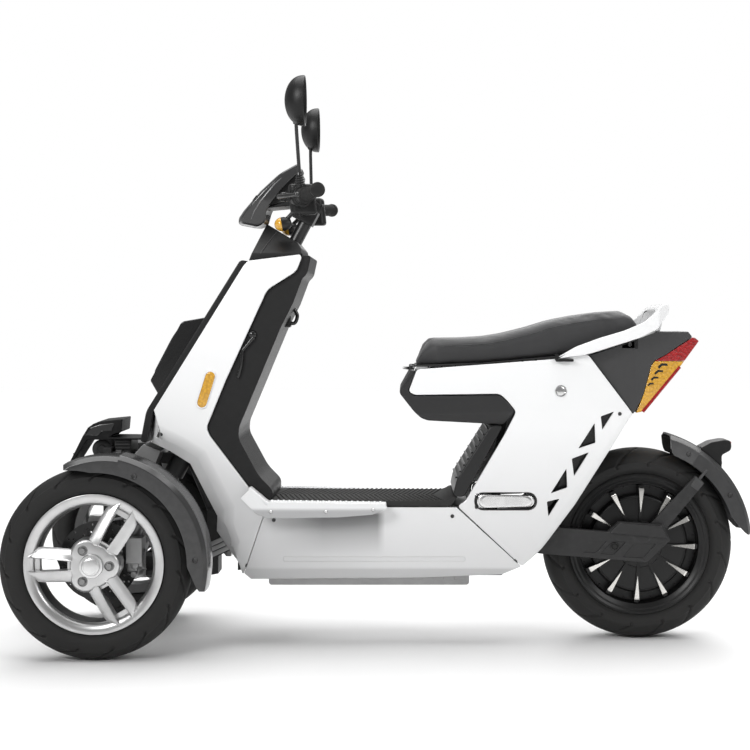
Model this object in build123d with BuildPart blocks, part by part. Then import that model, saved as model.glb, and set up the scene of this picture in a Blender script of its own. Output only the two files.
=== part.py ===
from build123d import *
from math import cos, radians, sin, tan
import os

# A three-wheeled electric scooter with two steered front wheels and a hub motor in the rear wheel.
# It faces -X, +Y is the rider's right and +Z is up. The origin is on the floor at the middle of the
# machine. All lengths are in millimetres, and "side" is a distance from the middle plane, y = 0.

# ---- Driving dimensions -------------------------------------------------------------------------

front_axle_x = -713.0
wheelbase = 1378.0
track = 550.0
front_tyre_radius = 238.0
front_tyre_width = 100.0
front_bead_radius = 152.0
front_rim_width = 76.0
rear_tyre_radius = 250.0
rear_tyre_width = 130.0
rear_bead_radius = 165.0
rear_rim_width = 104.0

rake = 27.7  # lean of the steering column and of both kingpins, from upright
column_top = (-210.0, 1104.0)  # x and z where the column meets the handlebar
column_radius = 18.0
kingpin_inset = 70.0  # from the wheel's middle plane in to its kingpin
kingpin_radius = 10.0
steering_arm_length = 60.0
bar_radius = 11.0

body_side = 150.0  # outer face of the white panels
panel_wall = 10.0
tail_side = body_side - 46.0
floor_top = 374.0  # tread face of the floor mat
mat_thickness = 16.0
frame_bottom = 182.3

seat_hinge_x = 66.0
seat_hinge_z = 714.5
peg_hinge_x = 240.0

seat_gap = 0.3  # between pieces that are seated on each other
running_gap = 0.05  # radial, at wheel bearings and joint pins

# ---- Places worked out from them ----------------------------------------------------------------

rear_axle_x = front_axle_x + wheelbase
front_axle_z = front_tyre_radius
rear_axle_z = rear_tyre_radius
wheel_side = track / 2
kingpin_side = wheel_side - kingpin_inset
panel_inner = body_side - panel_wall

steer_axis = Vector(sin(radians(rake)), 0, cos(radians(rake)))
steer_forward = Vector(-cos(radians(rake)), 0, sin(radians(rake)))
column_rise = column_top[1] - front_axle_z
column_length = column_rise / cos(radians(rake))
steer_foot = Vector(column_top[0] - column_rise * tan(radians(rake)), 0, front_axle_z)
mat_bottom = floor_top - mat_thickness


def steer_point(along, forward=0.0, side=0.0):
    """A point measured along the steering axis from axle height, forward of it and to one side."""
    return steer_foot + steer_axis * along + steer_forward * forward + Vector(0, side, 0)


# ---- Shapes used by several pieces --------------------------------------------------------------


def slab(outline, side_low, side_high):
    """A plate cut to a side-view outline of (x, z) points, between two distances to the side."""
    with BuildPart() as plate:
        with BuildSketch(Plane.XZ.offset(-side_high)):
            with BuildLine():
                Polyline(*outline, close=True)
            make_face()
        extrude(amount=side_high - side_low)
    return plate.part


def plan_slab(outline, low, high):
    """A plate cut to an outline of (x, y) points, seen from above, between two heights."""
    with BuildPart() as plate:
        with BuildSketch(Plane.XY.offset(low)):
            with BuildLine():
                Polyline(*outline, close=True)
            make_face()
        extrude(amount=high - low)
    return plate.part


def rod(start, end, radius):
    """A round bar between two points."""
    start, end = Vector(*start), Vector(*end)
    with BuildPart() as bar:
        with BuildSketch(Plane(origin=start, z_dir=end - start)):
            Circle(radius)
        extrude(amount=(end - start).length)
    return bar.part


def steer_rod(low, high, radius, forward=0.0, side=0.0):
    """A round bar along a steering axis."""
    return rod(steer_point(low, forward, side), steer_point(high, forward, side), radius)


def steer_block(low, high, back, front, side_low, side_high):
    """A block square to the steering axis."""
    with BuildPart() as block:
        with BuildSketch(Plane(steer_point(low), x_dir=steer_forward, z_dir=steer_axis)):
            with BuildLine():
                Polyline(
                    (back, side_low),
                    (front, side_low),
                    (front, side_high),
                    (back, side_high),
                    close=True,
                )
            make_face()
        extrude(amount=high - low)
    # The sketch's second direction is the axis crossed with forward, which points to -Y.
    return mirror(block.part, about=Plane.XZ)


def spun(profile, axle_x, axle_z, side, arc=360.0, start=0.0):
    """A ring turned about a wheel's axle from (radius, side) points.

    It starts at an angle from the rear, measured upwards, and covers an arc upwards from there.
    """
    hub = Plane(
        origin=(axle_x, side, axle_z),
        x_dir=(cos(radians(start)), 0, sin(radians(start))),
        z_dir=(-sin(radians(start)), 0, cos(radians(start))),
    )
    with BuildPart() as ring:
        with BuildSketch(hub):
            with BuildLine():
                Polyline(*[(radius, offset) for radius, offset in profile], close=True)
            make_face()
        revolve(axis=Axis((axle_x, side, axle_z), (0, -1, 0)), revolution_arc=arc)
    return ring.part


def across(x, z, radius, side_low, side_high):
    """A round bar square to the middle plane."""
    return rod((x, side_low, z), (x, side_high, z), radius)


def box_between(x_low, x_high, y_low, y_high, z_low, z_high):
    return slab([(x_low, z_low), (x_high, z_low), (x_high, z_high), (x_low, z_high)], y_low, y_high)


def mirrored(piece):
    """The same piece on the other side of the middle plane."""
    return mirror(piece, about=Plane.XZ)


pieces = {}


def keep(name, shape):
    """Label a finished piece and remember it for export."""
    shape.label = name
    pieces[name] = shape


# ---- Main frame ---------------------------------------------------------------------------------

head_low, head_high = 215.0, column_length - 148
head_radius = 27.0
rail_side = (112.0, 137.0)
rail_top = 225.0
rail_back = 300.0
battery_x = (-302.0, 217.0)
battery_bottom = 152.0
battery_side = 105.0
seat_rail_side = (88.0, 104.0)
seat_rail_z = (640.0, 665.0)
swing_pivot = (355.0, 262.0)
swing_pin_radius = 9.0
swing_side = (84.0, 104.0)
plate_side = (swing_side[1] + 0.3, 133.0)
arm_pin_side = 55.0
arm_pin_radius = 8.0
lower_pin_z = front_axle_z - 63.0
upper_pin_z = front_axle_z + 107.0
kingpin_x = steer_foot.X  # at axle height
shock_x = kingpin_x - 33.0
tower_x = (shock_x - 47, shock_x - 24)
shock_beam_x = (shock_x - 37, shock_x - 17)
lower_lug_x = (kingpin_x - 125, kingpin_x - 30, kingpin_x + 65)
upper_lug_x = (kingpin_x - 20, kingpin_x + 110)
lug_width = 10.0
lower_leg_x = (kingpin_x - 85, kingpin_x + 25)
upper_leg_x = (kingpin_x + 10, kingpin_x + 95)
post_x = (kingpin_x - 15, kingpin_x + 75)
post_width = 28.0
shock_top_side = 62.0
shock_top_z = 488.0
shock_pin_radius = 6.0
nose_bottom = 524.0
tail_line = ((522.0, 750.0), (641.0, 594.0))
tail_gap = 1.0


def tail_line_x(z):
    """Where the joint between the rear side panels and the tail cover lies at a height."""
    (x0, z0), (x1, z1) = tail_line
    return x0 + (z0 - z) * (x1 - x0) / (z0 - z1)


beam_top = lower_pin_z + 40
beam_end_x = -470.0
brace_top_z = 500.0

with BuildPart() as front_subframe:
    # Lower and upper beams for the wishbones, with posts between them and the shock tower.
    add(box_between(lower_lug_x[0], beam_end_x, -35, 35, lower_pin_z - 15, beam_top))
    upper_end_x = upper_lug_x[1] + lug_width
    add(box_between(kingpin_x - 25, upper_end_x, -35, 35, upper_pin_z - 25, upper_pin_z + 2))
    for x in post_x:
        add(box_between(x, x + post_width, -35, 35, beam_top - 15, upper_pin_z - 10))
    add(box_between(*tower_x, -35, 35, beam_top - 15, nose_bottom - seat_gap))
    add(box_between(*shock_beam_x, -80, 80, shock_top_z - 18, shock_top_z + 17))
    for side in (-1, 1):
        low, high = sorted((30 * side, 66 * side))
        pin = side * arm_pin_side
        for lugs, pin_z in ((lower_lug_x, lower_pin_z), (upper_lug_x, upper_pin_z)):
            for x in lugs:
                add(box_between(x, x + lug_width, low, high, pin_z - 12, pin_z + 12))
            ends = (lugs[0], lugs[-1] + lug_width)
            add(rod((ends[0], pin, pin_z), (ends[1], pin, pin_z), arm_pin_radius))
        top = side * shock_top_side
        pin_ends = (shock_beam_x[0], shock_x + 13)
        add(rod((pin_ends[0], top, shock_top_z), (pin_ends[1], top, shock_top_z), shock_pin_radius))
keep("front_subframe", front_subframe.part)

with BuildPart() as main_frame:
    # Head tube, with a brace forward to the shock tower and a down tube to the spine.
    add(steer_rod(head_low, head_high, head_radius))
    brace_x = shock_beam_x[1] + seat_gap
    foot = steer_point(head_low)
    brace = [(brace_x, brace_top_z), (brace_x, brace_top_z - 26)]
    brace += [(foot.X + 20, foot.Z + 24), (foot.X + 35, foot.Z + 52)]
    add(slab(brace, -12, 12))
    add(rod((foot.X + 45, 0, foot.Z + 62), (-440, 0, 300), 20))
    spine = [(beam_end_x + seat_gap, 165), (-325, 190), (-325, 224), (-400, 330)]
    add(slab(spine + [(beam_end_x + seat_gap, 340)], -38, 38))
    # Floor rails, the cross members that hold the battery, and the swing arm's plates and pin.
    for side in (-1, 1):
        low, high = sorted((rail_side[0] * side, rail_side[1] * side))
        add(box_between(-340, rail_back, low, high, frame_bottom, rail_top))
        low, high = sorted((plate_side[0] * side, plate_side[1] * side))
        add(slab([(235, 183), (300, 183), (384, 246), (384, 290), (330, 300)], low, high))
    add(box_between(-345, battery_x[0] - seat_gap, -120, 120, frame_bottom, rail_top))
    add(box_between(battery_x[1] + seat_gap, 245, -120, 120, frame_bottom, rail_top))
    add(across(*swing_pivot, swing_pin_radius, -plate_side[1], plate_side[1]))
    add(steer_rod(head_low - 1, head_high + 1, column_radius + 0.3), mode=Mode.SUBTRACT)
keep("main_frame", main_frame.part)

upright_width = 18.0
with BuildPart() as seat_frame:
    # The front cross member fills the nose of the cover under the seat, which it carries.
    cross = [(61, 640), (49.5, 655.2), (54.5, 665), (116, 665), (116, 640)]
    add(slab(cross, -seat_rail_side[1], seat_rail_side[1]))
    for side in (-1, 1):
        low, high = sorted((seat_rail_side[0] * side, seat_rail_side[1] * side))
        rail_ends = [tail_line_x(z) + tail_gap - seat_gap for z in seat_rail_z]
        rail = [(110, seat_rail_z[0]), (rail_ends[0], seat_rail_z[0])]
        rail += [(rail_ends[1], seat_rail_z[1]), (110, seat_rail_z[1])]
        add(slab(rail, low, high))
        upright = [(235, rail_top), (260, rail_top), (360, seat_rail_z[1]), (335, seat_rail_z[1])]
        outer = seat_rail_side[1] + upright_width
        add(slab(upright, *sorted((seat_rail_side[1] * side, outer * side))))
keep("seat_frame", seat_frame.part)

# ---- Battery, floor and the white panels --------------------------------------------------------

with BuildPart() as battery_box:
    add(box_between(*battery_x, -battery_side, battery_side, battery_bottom, mat_bottom - seat_gap))
    fillet(battery_box.edges().filter_by(Axis.Y).group_by(Axis.Z)[0], 8)
keep("battery_box", battery_box.part)

seam_front = ((-303.0, mat_bottom), (-361.0, 189.0))
seam_rear = ((183.0, mat_bottom + 2), (348.0, 207.0))
seam_gap = 1.0
skirt_bottom = 174.0

skirt_outline = [
    seam_front[0],
    seam_front[1],
    (-344, skirt_bottom),
    (89, skirt_bottom + 4),
    (298, 186),
    seam_rear[1],
    (seam_rear[0][0], mat_bottom),
]

with BuildPart() as floor_skirts:
    for side in (-1, 1):
        low, high = sorted((panel_inner * side, body_side * side))
        add(slab(skirt_outline, low, high))
        low, high = sorted((107.0 * side, panel_inner * side))
        add(box_between(-300, 89, low, high, skirt_bottom + 3.5, frame_bottom - seat_gap))
keep("floor_skirts", floor_skirts.part)

# The front side panel's lower front edge follows the wheel, and is folded in towards the middle.
arch_edge = [  # x, z and how much of the fold this point takes
    (-609, 522, 1.0),
    (-557, 497, 1.0),
    (-506, 465, 1.0),
    (-466, 387, 1.0),
    (-436, 330, 1.0),
    (-438, 291, 1.0),
    (-409, 249, 0.6),
    (-366, 188, 0.0),
]
arch_inward = (0.78, 0.63)
arch_fold = 42.0
arch_fold_depth = 45.0


def front_panel_outline(inset, margin):
    """The panel's outline, its wheel-arch edge moved in and its other edges moved out."""
    back, up = arch_inward[0] * inset, arch_inward[1] * inset
    arch = [(x + back * share, z + up * share) for x, z, share in arch_edge]
    upper = [
        (-592 - margin, 609),
        (-362 - margin, 979 + margin),
        (-350, 990 + margin),
        (-219, 1006 + margin),
        (-214 + margin, 998),
        (-227 + margin, 963),
        (-302 + margin, 916 - margin),
        (-408 + margin, 684),
        (-458 + margin, 562),
        (-449 + margin, 541 + margin),
        (-349 + margin, floor_top + 35 + margin),
        (-317 + margin, floor_top - 2 + margin),
    ]
    lower = [
        (seam_front[0][0] - seam_gap + margin, seam_front[0][1] + margin),
        (seam_front[1][0] - seam_gap + margin, seam_front[1][1] - margin),
    ]
    return upper + lower + arch[::-1]


def panel_loft(inner_side, outer_side, inner_inset, outer_inset, margin):
    """The space between a panel outline at one distance to the side and another further out."""
    with BuildPart() as space:
        for side, inset in ((inner_side, inner_inset), (outer_side, outer_inset)):
            with BuildSketch(Plane.XZ.offset(side)):
                with BuildLine():
                    Polyline(*front_panel_outline(inset, margin), close=True)
                make_face()
        loft(ruled=True)
    return space.part


with BuildPart() as front_side_panel_left:
    add(panel_loft(body_side - arch_fold_depth, body_side, 0, arch_fold, 0))
    fold_wall = panel_wall * 1.2
    add(
        panel_loft(
            body_side - arch_fold_depth - panel_wall,
            panel_inner,
            fold_wall,
            arch_fold + fold_wall,
            4,
        ),
        mode=Mode.SUBTRACT,
    )
keep("front_side_panel_left", front_side_panel_left.part)
keep("front_side_panel_right", mirrored(front_side_panel_left.part))

# The rear side panel runs straight beside the seat and then narrows to the tail.
panel_taper_x = 420.0
tail_corner_x = 650.0
tail_corner_side = tail_side + 8.0
vents = [
    [(555, 590), (590, 602), (559, 555)],
    [(539, 573), (541, 522), (496, 508)],
    [(479, 482), (524, 498), (485, 437)],
    [(465, 457), (467, 408), (424, 394)],
    [(414, 373), (447, 380), (418, 335)],
]
rear_panel_outline = [
    (81, 711),
    (60, 655),
    (75, 646),
    (293, 649),
    (311, 634),
    (336, 603),
    (308, 548),
    (207, floor_top + 2),
    (seam_rear[0][0] + 2, seam_rear[0][1] + 1),
    (seam_rear[1][0] + 2, seam_rear[1][1]),
    (390, 241),
    (403, 254),
    (488, 363),
    (583, 508),
    (629, 582),
    tail_line[1],
    tail_line[0],
    (441, 738),
]
peg_middle_z = floor_top
peg_length = 150.0
peg_height = 36.0
peg_thickness = 12.0
peg_front = peg_hinge_x - peg_thickness / 2 - 0.5
peg_pin_radius = 3.0
peg_side = body_side - panel_wall / 2

with BuildPart() as rear_side_panel_left:
    band = [(40, -body_side), (panel_taper_x, -body_side), (tail_corner_x, -tail_corner_side)]
    band += [(x, y + panel_wall) for x, y in band[::-1]]
    add(plan_slab(band, 170, 770))
    add(slab(rear_panel_outline, -body_side - 5, -80), mode=Mode.INTERSECT)
    for vent in vents:
        add(slab(vent, -body_side - 5, -80), mode=Mode.SUBTRACT)
    with BuildSketch(Plane.XZ.offset(panel_inner - 10)):
        with Locations((peg_front + peg_length / 2, peg_middle_z)):
            SlotOverall(peg_length + 9, peg_height + 9)
    extrude(amount=30, mode=Mode.SUBTRACT)
    # The peg's hinge end needs room to turn, square to the slot's round end.
    turn = peg_thickness / 2 + 4
    half = peg_height / 2 + 1
    room_x = (peg_hinge_x - turn, peg_hinge_x + turn)
    room_z = (peg_middle_z - half, peg_middle_z + half)
    add(box_between(*room_x, -body_side - 5, -panel_inner + 5, *room_z), mode=Mode.SUBTRACT)
    pin_end = peg_height / 2 + 14
    add(
        rod(
            (peg_hinge_x, -peg_side, peg_middle_z - pin_end),
            (peg_hinge_x, -peg_side, peg_middle_z + pin_end),
            peg_pin_radius + running_gap,
        ),
        mode=Mode.SUBTRACT,
    )
keep("rear_side_panel_left", rear_side_panel_left.part)
keep("rear_side_panel_right", mirrored(rear_side_panel_left.part))

with BuildPart() as passenger_peg_left:
    with BuildSketch(Plane.XZ.offset(peg_side - peg_thickness / 2)):
        with Locations((peg_front + peg_length / 2, peg_middle_z)):
            SlotOverall(peg_length, peg_height)
    extrude(amount=peg_thickness)
    add(
        rod(
            (peg_hinge_x, -peg_side, peg_middle_z - pin_end + 1),
            (peg_hinge_x, -peg_side, peg_middle_z + pin_end - 1),
            peg_pin_radius,
        )
    )
keep("passenger_peg_left", passenger_peg_left.part)
keep("passenger_peg_right", mirrored(passenger_peg_left.part))

mat_side = panel_inner - 0.5
mat_lip_top = floor_top + 10
with BuildPart() as floor_mat:
    mat = [(-317, mat_bottom), (-317, floor_top), (150, floor_top), (162, floor_top + 4)]
    mat += [(172, mat_lip_top), (186, mat_lip_top), (168, mat_bottom)]
    add(slab(mat, -mat_side, mat_side))
keep("floor_mat", floor_mat.part)

with BuildPart() as step_riser:
    riser_bottom = mat_lip_top + seat_gap
    riser = [(173, riser_bottom), (183, 427), (272, 569), (303, 566), (226, 427), (203, riser_bottom)]
    add(slab(riser, -mat_side, mat_side))
keep("step_riser", step_riser.part)

foot_plate_reach = 42.0
foot_plate_lip = 5.0
with BuildPart() as foot_plates:
    for side in (-1, 1):
        inner, outer = body_side + seat_gap, body_side + foot_plate_reach
        tread = [(-298, -5), (-341, 30), (-347, 37), (-341, 39), (-298, 3), (2, -1), (4, -7)]
        apron = [(-300, -4), (-344, 34), (-366, 12), (-326, -27), (-298, -38), (-117, -36)]
        apron += [(-31, -29), (7, -13), (3, -6)]
        flange = [(-296, -3), (-296, -24), (-20, -24), (-10, -5)]
        for outline, low, high in (
            (tread, inner, outer),
            (apron, outer - foot_plate_lip, outer),
            (flange, inner, inner + foot_plate_lip),
        ):
            raised = [(x, floor_top + z) for x, z in outline]
            add(slab(raised, *sorted((low * side, high * side))))
keep("foot_plates", foot_plates.part)

# ---- Front covers -------------------------------------------------------------------------------

cover_side = panel_inner - 0.5
shield_lean = (993.0 - 604.0) / (-372.0 + 614.0)  # rise for each step back, along the front cover


def shield_front_x(z):
    """The front cover's face at a height."""
    return -372.0 + (z - 993.0) / shield_lean


with BuildPart() as front_cover:
    face = [(-372, 993), (-614, 604), (-629, 525), (-612, 523), (-594, 606), (-352, 989)]
    add(slab(face, -cover_side, cover_side))
keep("front_cover", front_cover.part)

lamp_side = 72.0
with BuildPart() as head_lamp:
    lamp_back = [(shield_front_x(z) - seat_gap, z) for z in (640, 846)]
    lamp = [lamp_back[1], (-533, 834), (-615, 680), lamp_back[0]]
    add(slab(lamp, -lamp_side, lamp_side))
    fillet(head_lamp.edges().filter_by(Axis.Y).sort_by(Axis.X)[0], 8)
keep("head_lamp", head_lamp.part)

with BuildPart() as nose_fairing:
    nose = [(-840, 444), (-823, 475), (-794, 533), (-780, 556), (-766, 566), (-749, 573)]
    nose += [(-698, 579), (-676, 583), (-682, 552), (-641, 548), (-632.5, 528)]
    nose += [(-633, nose_bottom), (-781, nose_bottom), (-815, 468)]
    add(slab(nose, -62, 62))
keep("nose_fairing", nose_fairing.part)

neck_side = 130.0
shield_top = 1004.0

with BuildPart() as neck_cover:
    neck = [(-351.7, 990), (-313, 1091), (-229, 1040), (-215, 1022)]
    neck += [(-213, shield_top + seat_gap), (-222, shield_top + seat_gap)]
    add(slab(neck, -neck_side, neck_side))
    with BuildSketch(Plane.YZ.offset(-400)):
        with BuildLine():
            slope = [(neck_side, 985), (neck_side, 1010), (40, 1092)]
            Polyline(*slope, *[(-y, z) for y, z in slope[::-1]], close=True)
        make_face()
    extrude(amount=250, mode=Mode.INTERSECT)
    add(steer_rod(700, column_length + 22, column_radius + 7), mode=Mode.SUBTRACT)
keep("neck_cover", neck_cover.part)

with BuildPart() as inner_shield:
    shell = [(-222, shield_top), (-190, shield_top), (-200, 957), (-213, 944), (-237, 880), (-269, 817)]
    shell += [(-375, 563), (-377, 534), (-326, 440), (-289, floor_top + 28), (-290, floor_top + 1)]
    shell += [(-316, floor_top + 1), (-349, floor_top + 35), (-449, 541), (-458, 562)]
    shell += [(-408, 684), (-302, 916), (-227, 963)]
    add(slab(shell, -cover_side, cover_side))
    hollow = [(-240, 990), (-204, 990), (-212, 962), (-225, 948), (-249, 884), (-281, 820)]
    hollow += [(-389, 566), (-391, 537), (-338, 445), (-302, floor_top + 32), (-304, floor_top + 6)]
    hollow += [(-330, floor_top - 4), (-390, floor_top + 35), (-500, 541), (-500, 562)]
    hollow += [(-450, 684), (-350, 916), (-260, 990)]
    add(slab(hollow, -cover_side + 8, cover_side - 8), mode=Mode.SUBTRACT)
keep("inner_shield", inner_shield.part)

# ---- Seat box and seat --------------------------------------------------------------------------

hinge_pin_radius = 2.5
hinge_barrel_radius = 5.0
hinge_leaf = (50.0, 80.0)  # the seat's two hinge barrels, each side of the middle
hinge_gap = 0.5
hinge_end = 90.0

with BuildPart() as seat_box_cover:
    cap = [(65, 710), (34, 654), (75, 602), (93, 586), (110, 580), (273, 571), (304, 568)]
    cap += [(333, 604), (311, 631), (293, 645), (75, 643), (57, 655), (78, 708)]
    add(slab(cap, -body_side, body_side))
    inside = [(77, 712), (49, 655), (82, 612), (98, 597), (113, 592), (298, 580), (345, 580)]
    inside += [(345, 720)]
    add(slab(inside, -panel_inner, panel_inner), mode=Mode.SUBTRACT)
    # The fixed half of the seat's hinge stands on the front edge, with room for the seat's barrels.
    foot = [(62, 700), (62, seat_hinge_z), (70, seat_hinge_z), (72, 700)]
    add(slab(foot, -hinge_end, hinge_end))
    add(across(seat_hinge_x, seat_hinge_z, hinge_barrel_radius, -hinge_end, hinge_end))
    for side in (-1, 1):
        low, high = sorted(((hinge_leaf[0] - hinge_gap) * side, (hinge_leaf[1] + hinge_gap) * side))
        room = hinge_barrel_radius + hinge_gap
        add(
            box_between(seat_hinge_x - room, 90, low, high, seat_hinge_z - room, 730),
            mode=Mode.SUBTRACT,
        )
    add(across(seat_hinge_x, seat_hinge_z, hinge_pin_radius, -hinge_end, hinge_end))
keep("seat_box_cover", seat_box_cover.part)

tub_x = (117.0, 430.0)
tub_side = 87.5
tub_bottom = 600.0
tub_top = 710.0
tub_wall = 4.0

with BuildPart() as storage_tub:
    add(box_between(*tub_x, -tub_side, tub_side, tub_bottom, tub_top))
    lip = seat_rail_side[1]
    lip_bottom = seat_rail_z[1] + seat_gap
    add(box_between(tub_x[0], tub_x[1], -lip, lip, lip_bottom, lip_bottom + tub_wall))
    hollow_x = (tub_x[0] + tub_wall, tub_x[1] - tub_wall)
    hollow_side = tub_side - tub_wall
    add(
        box_between(*hollow_x, -hollow_side, hollow_side, tub_bottom + tub_wall, tub_top + 5),
        mode=Mode.SUBTRACT,
    )
keep("storage_tub", storage_tub.part)

seat_side = 128.0
seat_taper = [(60, 100), (130, seat_side), (430, seat_side), (600, 108), (650, 92), (668, 60)]
seat_plan = seat_taper + [(x, -y) for x, y in seat_taper[::-1]]
seat_under = [(70, 722), (76, 722), (249, 728), (438, 745), (530, 764), (640, 806), (660, 822)]
seat_top = [(664, 831), (643, 856), (627, 861), (554, 856), (491, 847), (433, 836), (375, 818)]
seat_top += [(312, 802), (260, 793), (197, 789), (115, 788), (92, 768), (78, 742)]

with BuildPart() as seat_cushion:
    add(slab(seat_under + seat_top, -seat_side, seat_side))
    add(plan_slab(seat_plan, 700, 900), mode=Mode.INTERSECT)
keep("seat_cushion", seat_cushion.part)

pan_wall = 5.0
pan_margin = 6.0
with BuildPart() as seat_pan:
    top = [(x, z - seat_gap) for x, z in seat_under[1:6]]
    bottom = [(x, z - pan_wall) for x, z in top[::-1]]
    add(slab(top + bottom, -seat_side + pan_margin, seat_side - pan_margin))
    narrower = [(x, y - pan_margin) for x, y in seat_taper]
    add(
        plan_slab(narrower + [(x, -y) for x, y in narrower[::-1]], 700, 900),
        mode=Mode.INTERSECT,
    )
    for side in (-1, 1):
        low, high = sorted((hinge_leaf[0] * side, hinge_leaf[1] * side))
        add(across(seat_hinge_x, seat_hinge_z, hinge_barrel_radius, low, high))
        add(box_between(seat_hinge_x, 80, low, high, seat_hinge_z + 1.5, seat_hinge_z + 5))
    add(
        across(seat_hinge_x, seat_hinge_z, hinge_pin_radius + running_gap, -100, 100),
        mode=Mode.SUBTRACT,
    )
keep("seat_pan", seat_pan.part)

# ---- Tail ---------------------------------------------------------------------------------------

tail_plan = [(500, tail_side), (645, tail_side), (820, 70), (820, -70), (645, -tail_side)]
tail_plan += [(500, -tail_side)]
lamp_front = [(803, 793), (728, 746), (701, 733), (691, 720), (672, 651), (663, 628)]

tail_front_top = 747.0
deck_z = 808.0
rack_hole_x = 770.0
rack_spacing = (26.0, 70.0)
rack_hole_radius = 3.3
rack_hole_depth = 22.0

with BuildPart() as tail_cover:
    tail = [(tail_line[1][0] + tail_gap, tail_line[1][1])]
    tail += [(tail_line_x(tail_front_top) + tail_gap, tail_front_top)]
    tail += [(595, 768), (704, deck_z), (790, deck_z), (801, 794)]
    tail += [(x - 0.8, z) for x, z in lamp_front[1:]]
    add(slab(tail, -tail_side, tail_side))
    add(plan_slab(tail_plan, 590, 815), mode=Mode.INTERSECT)
    with BuildSketch(Plane.XY.offset(deck_z)):
        with Locations((rack_hole_x, 0)):
            with GridLocations(*rack_spacing, 2, 2):
                Circle(rack_hole_radius)
    extrude(amount=-rack_hole_depth, mode=Mode.SUBTRACT)
keep("tail_cover", tail_cover.part)

with BuildPart() as tail_lamp:
    lamp_back = [(650, 597), (670, 601), (766, 713), (819, 783), (809, 791)]
    add(slab(lamp_front + lamp_back, -tail_side, tail_side))
    add(plan_slab(tail_plan, 590, 815), mode=Mode.INTERSECT)
keep("tail_lamp", tail_lamp.part)

rail_width = 16.0
rail_plan = [(436, 0), (470, 0), (640, -12), (705, -22), (735, -55), (745, -90)]
rail_hollow = [(430, 0), (470, 0), (636, -12), (686, -20), (700, -44), (704, -74)]


def two_sided(half_plan, half_width):
    """A plan outline from (x, distance out from a half width), closed through the other side."""
    half = [(x, half_width + out) for x, out in half_plan]
    return half + [(x, -y) for x, y in half[::-1]]


with BuildPart() as grab_rail:
    rail = [(446, 745), (488, 769), (551, 792), (613, 810), (665, 831), (697, 857)]
    rail += [(715, 878), (738, 878), (741, 876), (733, 852), (702, 815), (655, 792), (587, 771)]
    rail += [(522, 750 + seat_gap), (441, 738 + seat_gap)]
    add(slab(rail, -body_side - 1, body_side + 1))
    add(plan_slab(two_sided(rail_plan, body_side), 720, 890), mode=Mode.INTERSECT)
    add(plan_slab(two_sided(rail_hollow, body_side - rail_width), 720, 890), mode=Mode.SUBTRACT)
    for side in (-1, 1):
        low, high = sorted((48 * side, 66 * side))
        pad = [(706, deck_z + seat_gap), (718, deck_z + seat_gap), (728, 846), (706, 822)]
        add(slab(pad, low, high))
keep("grab_rail", grab_rail.part)

# ---- Rear wheel, swing arm and rear fender ------------------------------------------------------

rear_axle_radius = 9.0


def tyre_profile(bead_radius, tyre_radius, width, rim_width):
    """Half of a tyre's section on each side of its middle plane, as (radius, side) points."""
    bead = rim_width / 2 - 6.5
    depth = tyre_radius - bead_radius
    half = [
        (bead_radius + seat_gap, bead),
        (bead_radius + depth * 0.22, bead),
        (bead_radius + depth * 0.36, width * 0.47),
        (bead_radius + depth * 0.56, width * 0.5),
        (bead_radius + depth * 0.78, width * 0.44),
        (tyre_radius - depth * 0.07, width * 0.26),
        (tyre_radius, width * 0.08),
    ]
    inner = [(bead_radius + depth * 0.6, bead * 0.7), (bead_radius + seat_gap, bead * 0.7)]
    outer = half + [(radius, -side) for radius, side in half[::-1]]
    return outer + [(radius, -side) for radius, side in inner[::-1]] + inner


def rim_profile(bead_radius, rim_width):
    """A rim's well and flanges."""
    edge = rim_width / 2
    lip = bead_radius + 19
    return [
        (bead_radius - 12, edge),
        (lip, edge),
        (lip, edge - 6),
        (bead_radius, edge - 6),
        (bead_radius, 6 - edge),
        (lip, 6 - edge),
        (lip, -edge),
        (bead_radius - 12, -edge),
    ]


def round_tyre(bead_radius, tyre_radius, width, rim_width, axle_x, axle_z, side):
    profile = tyre_profile(bead_radius, tyre_radius, width, rim_width)
    return spun(profile, axle_x, axle_z, side)


keep(
    "rear_tyre",
    round_tyre(
        rear_bead_radius, rear_tyre_radius, rear_tyre_width, rear_rim_width, rear_axle_x, rear_axle_z, 0
    ),
)

motor_radius = 128.0
motor_side = 54.0
with BuildPart() as rear_rim:
    add(spun(rim_profile(rear_bead_radius, rear_rim_width), rear_axle_x, rear_axle_z, 0))
    motor = [(rear_axle_radius + running_gap, -motor_side), (motor_radius, -motor_side + 8)]
    motor += [(motor_radius, -14), (rear_bead_radius - 10, -14), (rear_bead_radius - 10, 14)]
    motor += [(motor_radius, 14), (motor_radius, motor_side - 8)]
    motor += [(rear_axle_radius + running_gap, motor_side)]
    add(spun(motor, rear_axle_x, rear_axle_z, 0))
keep("rear_rim", rear_rim.part)

arm_outline = [
    (swing_pivot[0] - 22, swing_pivot[1] - 12),
    (swing_pivot[0] - 16, swing_pivot[1] + 20),
    (swing_pivot[0] + 92, swing_pivot[1] + 39),
    (rear_axle_x - 88, 289),
    (rear_axle_x - 60, 315),
    (rear_axle_x + 55, 307),
    (rear_axle_x + 73, 267),
    (rear_axle_x + 12, 210),
    (swing_pivot[0] + 44, swing_pivot[1] - 29),
]
with BuildPart() as swing_arm:
    for side in (-1, 1):
        low, high = sorted((swing_side[0] * side, swing_side[1] * side))
        add(slab(arm_outline, low, high))
    add(across(*swing_pivot, 20, -swing_side[1], swing_side[1]))
    add(across(rear_axle_x, rear_axle_z, rear_axle_radius, -swing_side[1] - 8, swing_side[1] + 8))
    add(across(*swing_pivot, swing_pin_radius + seat_gap, -140, 140), mode=Mode.SUBTRACT)
keep("swing_arm", swing_arm.part)

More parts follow.
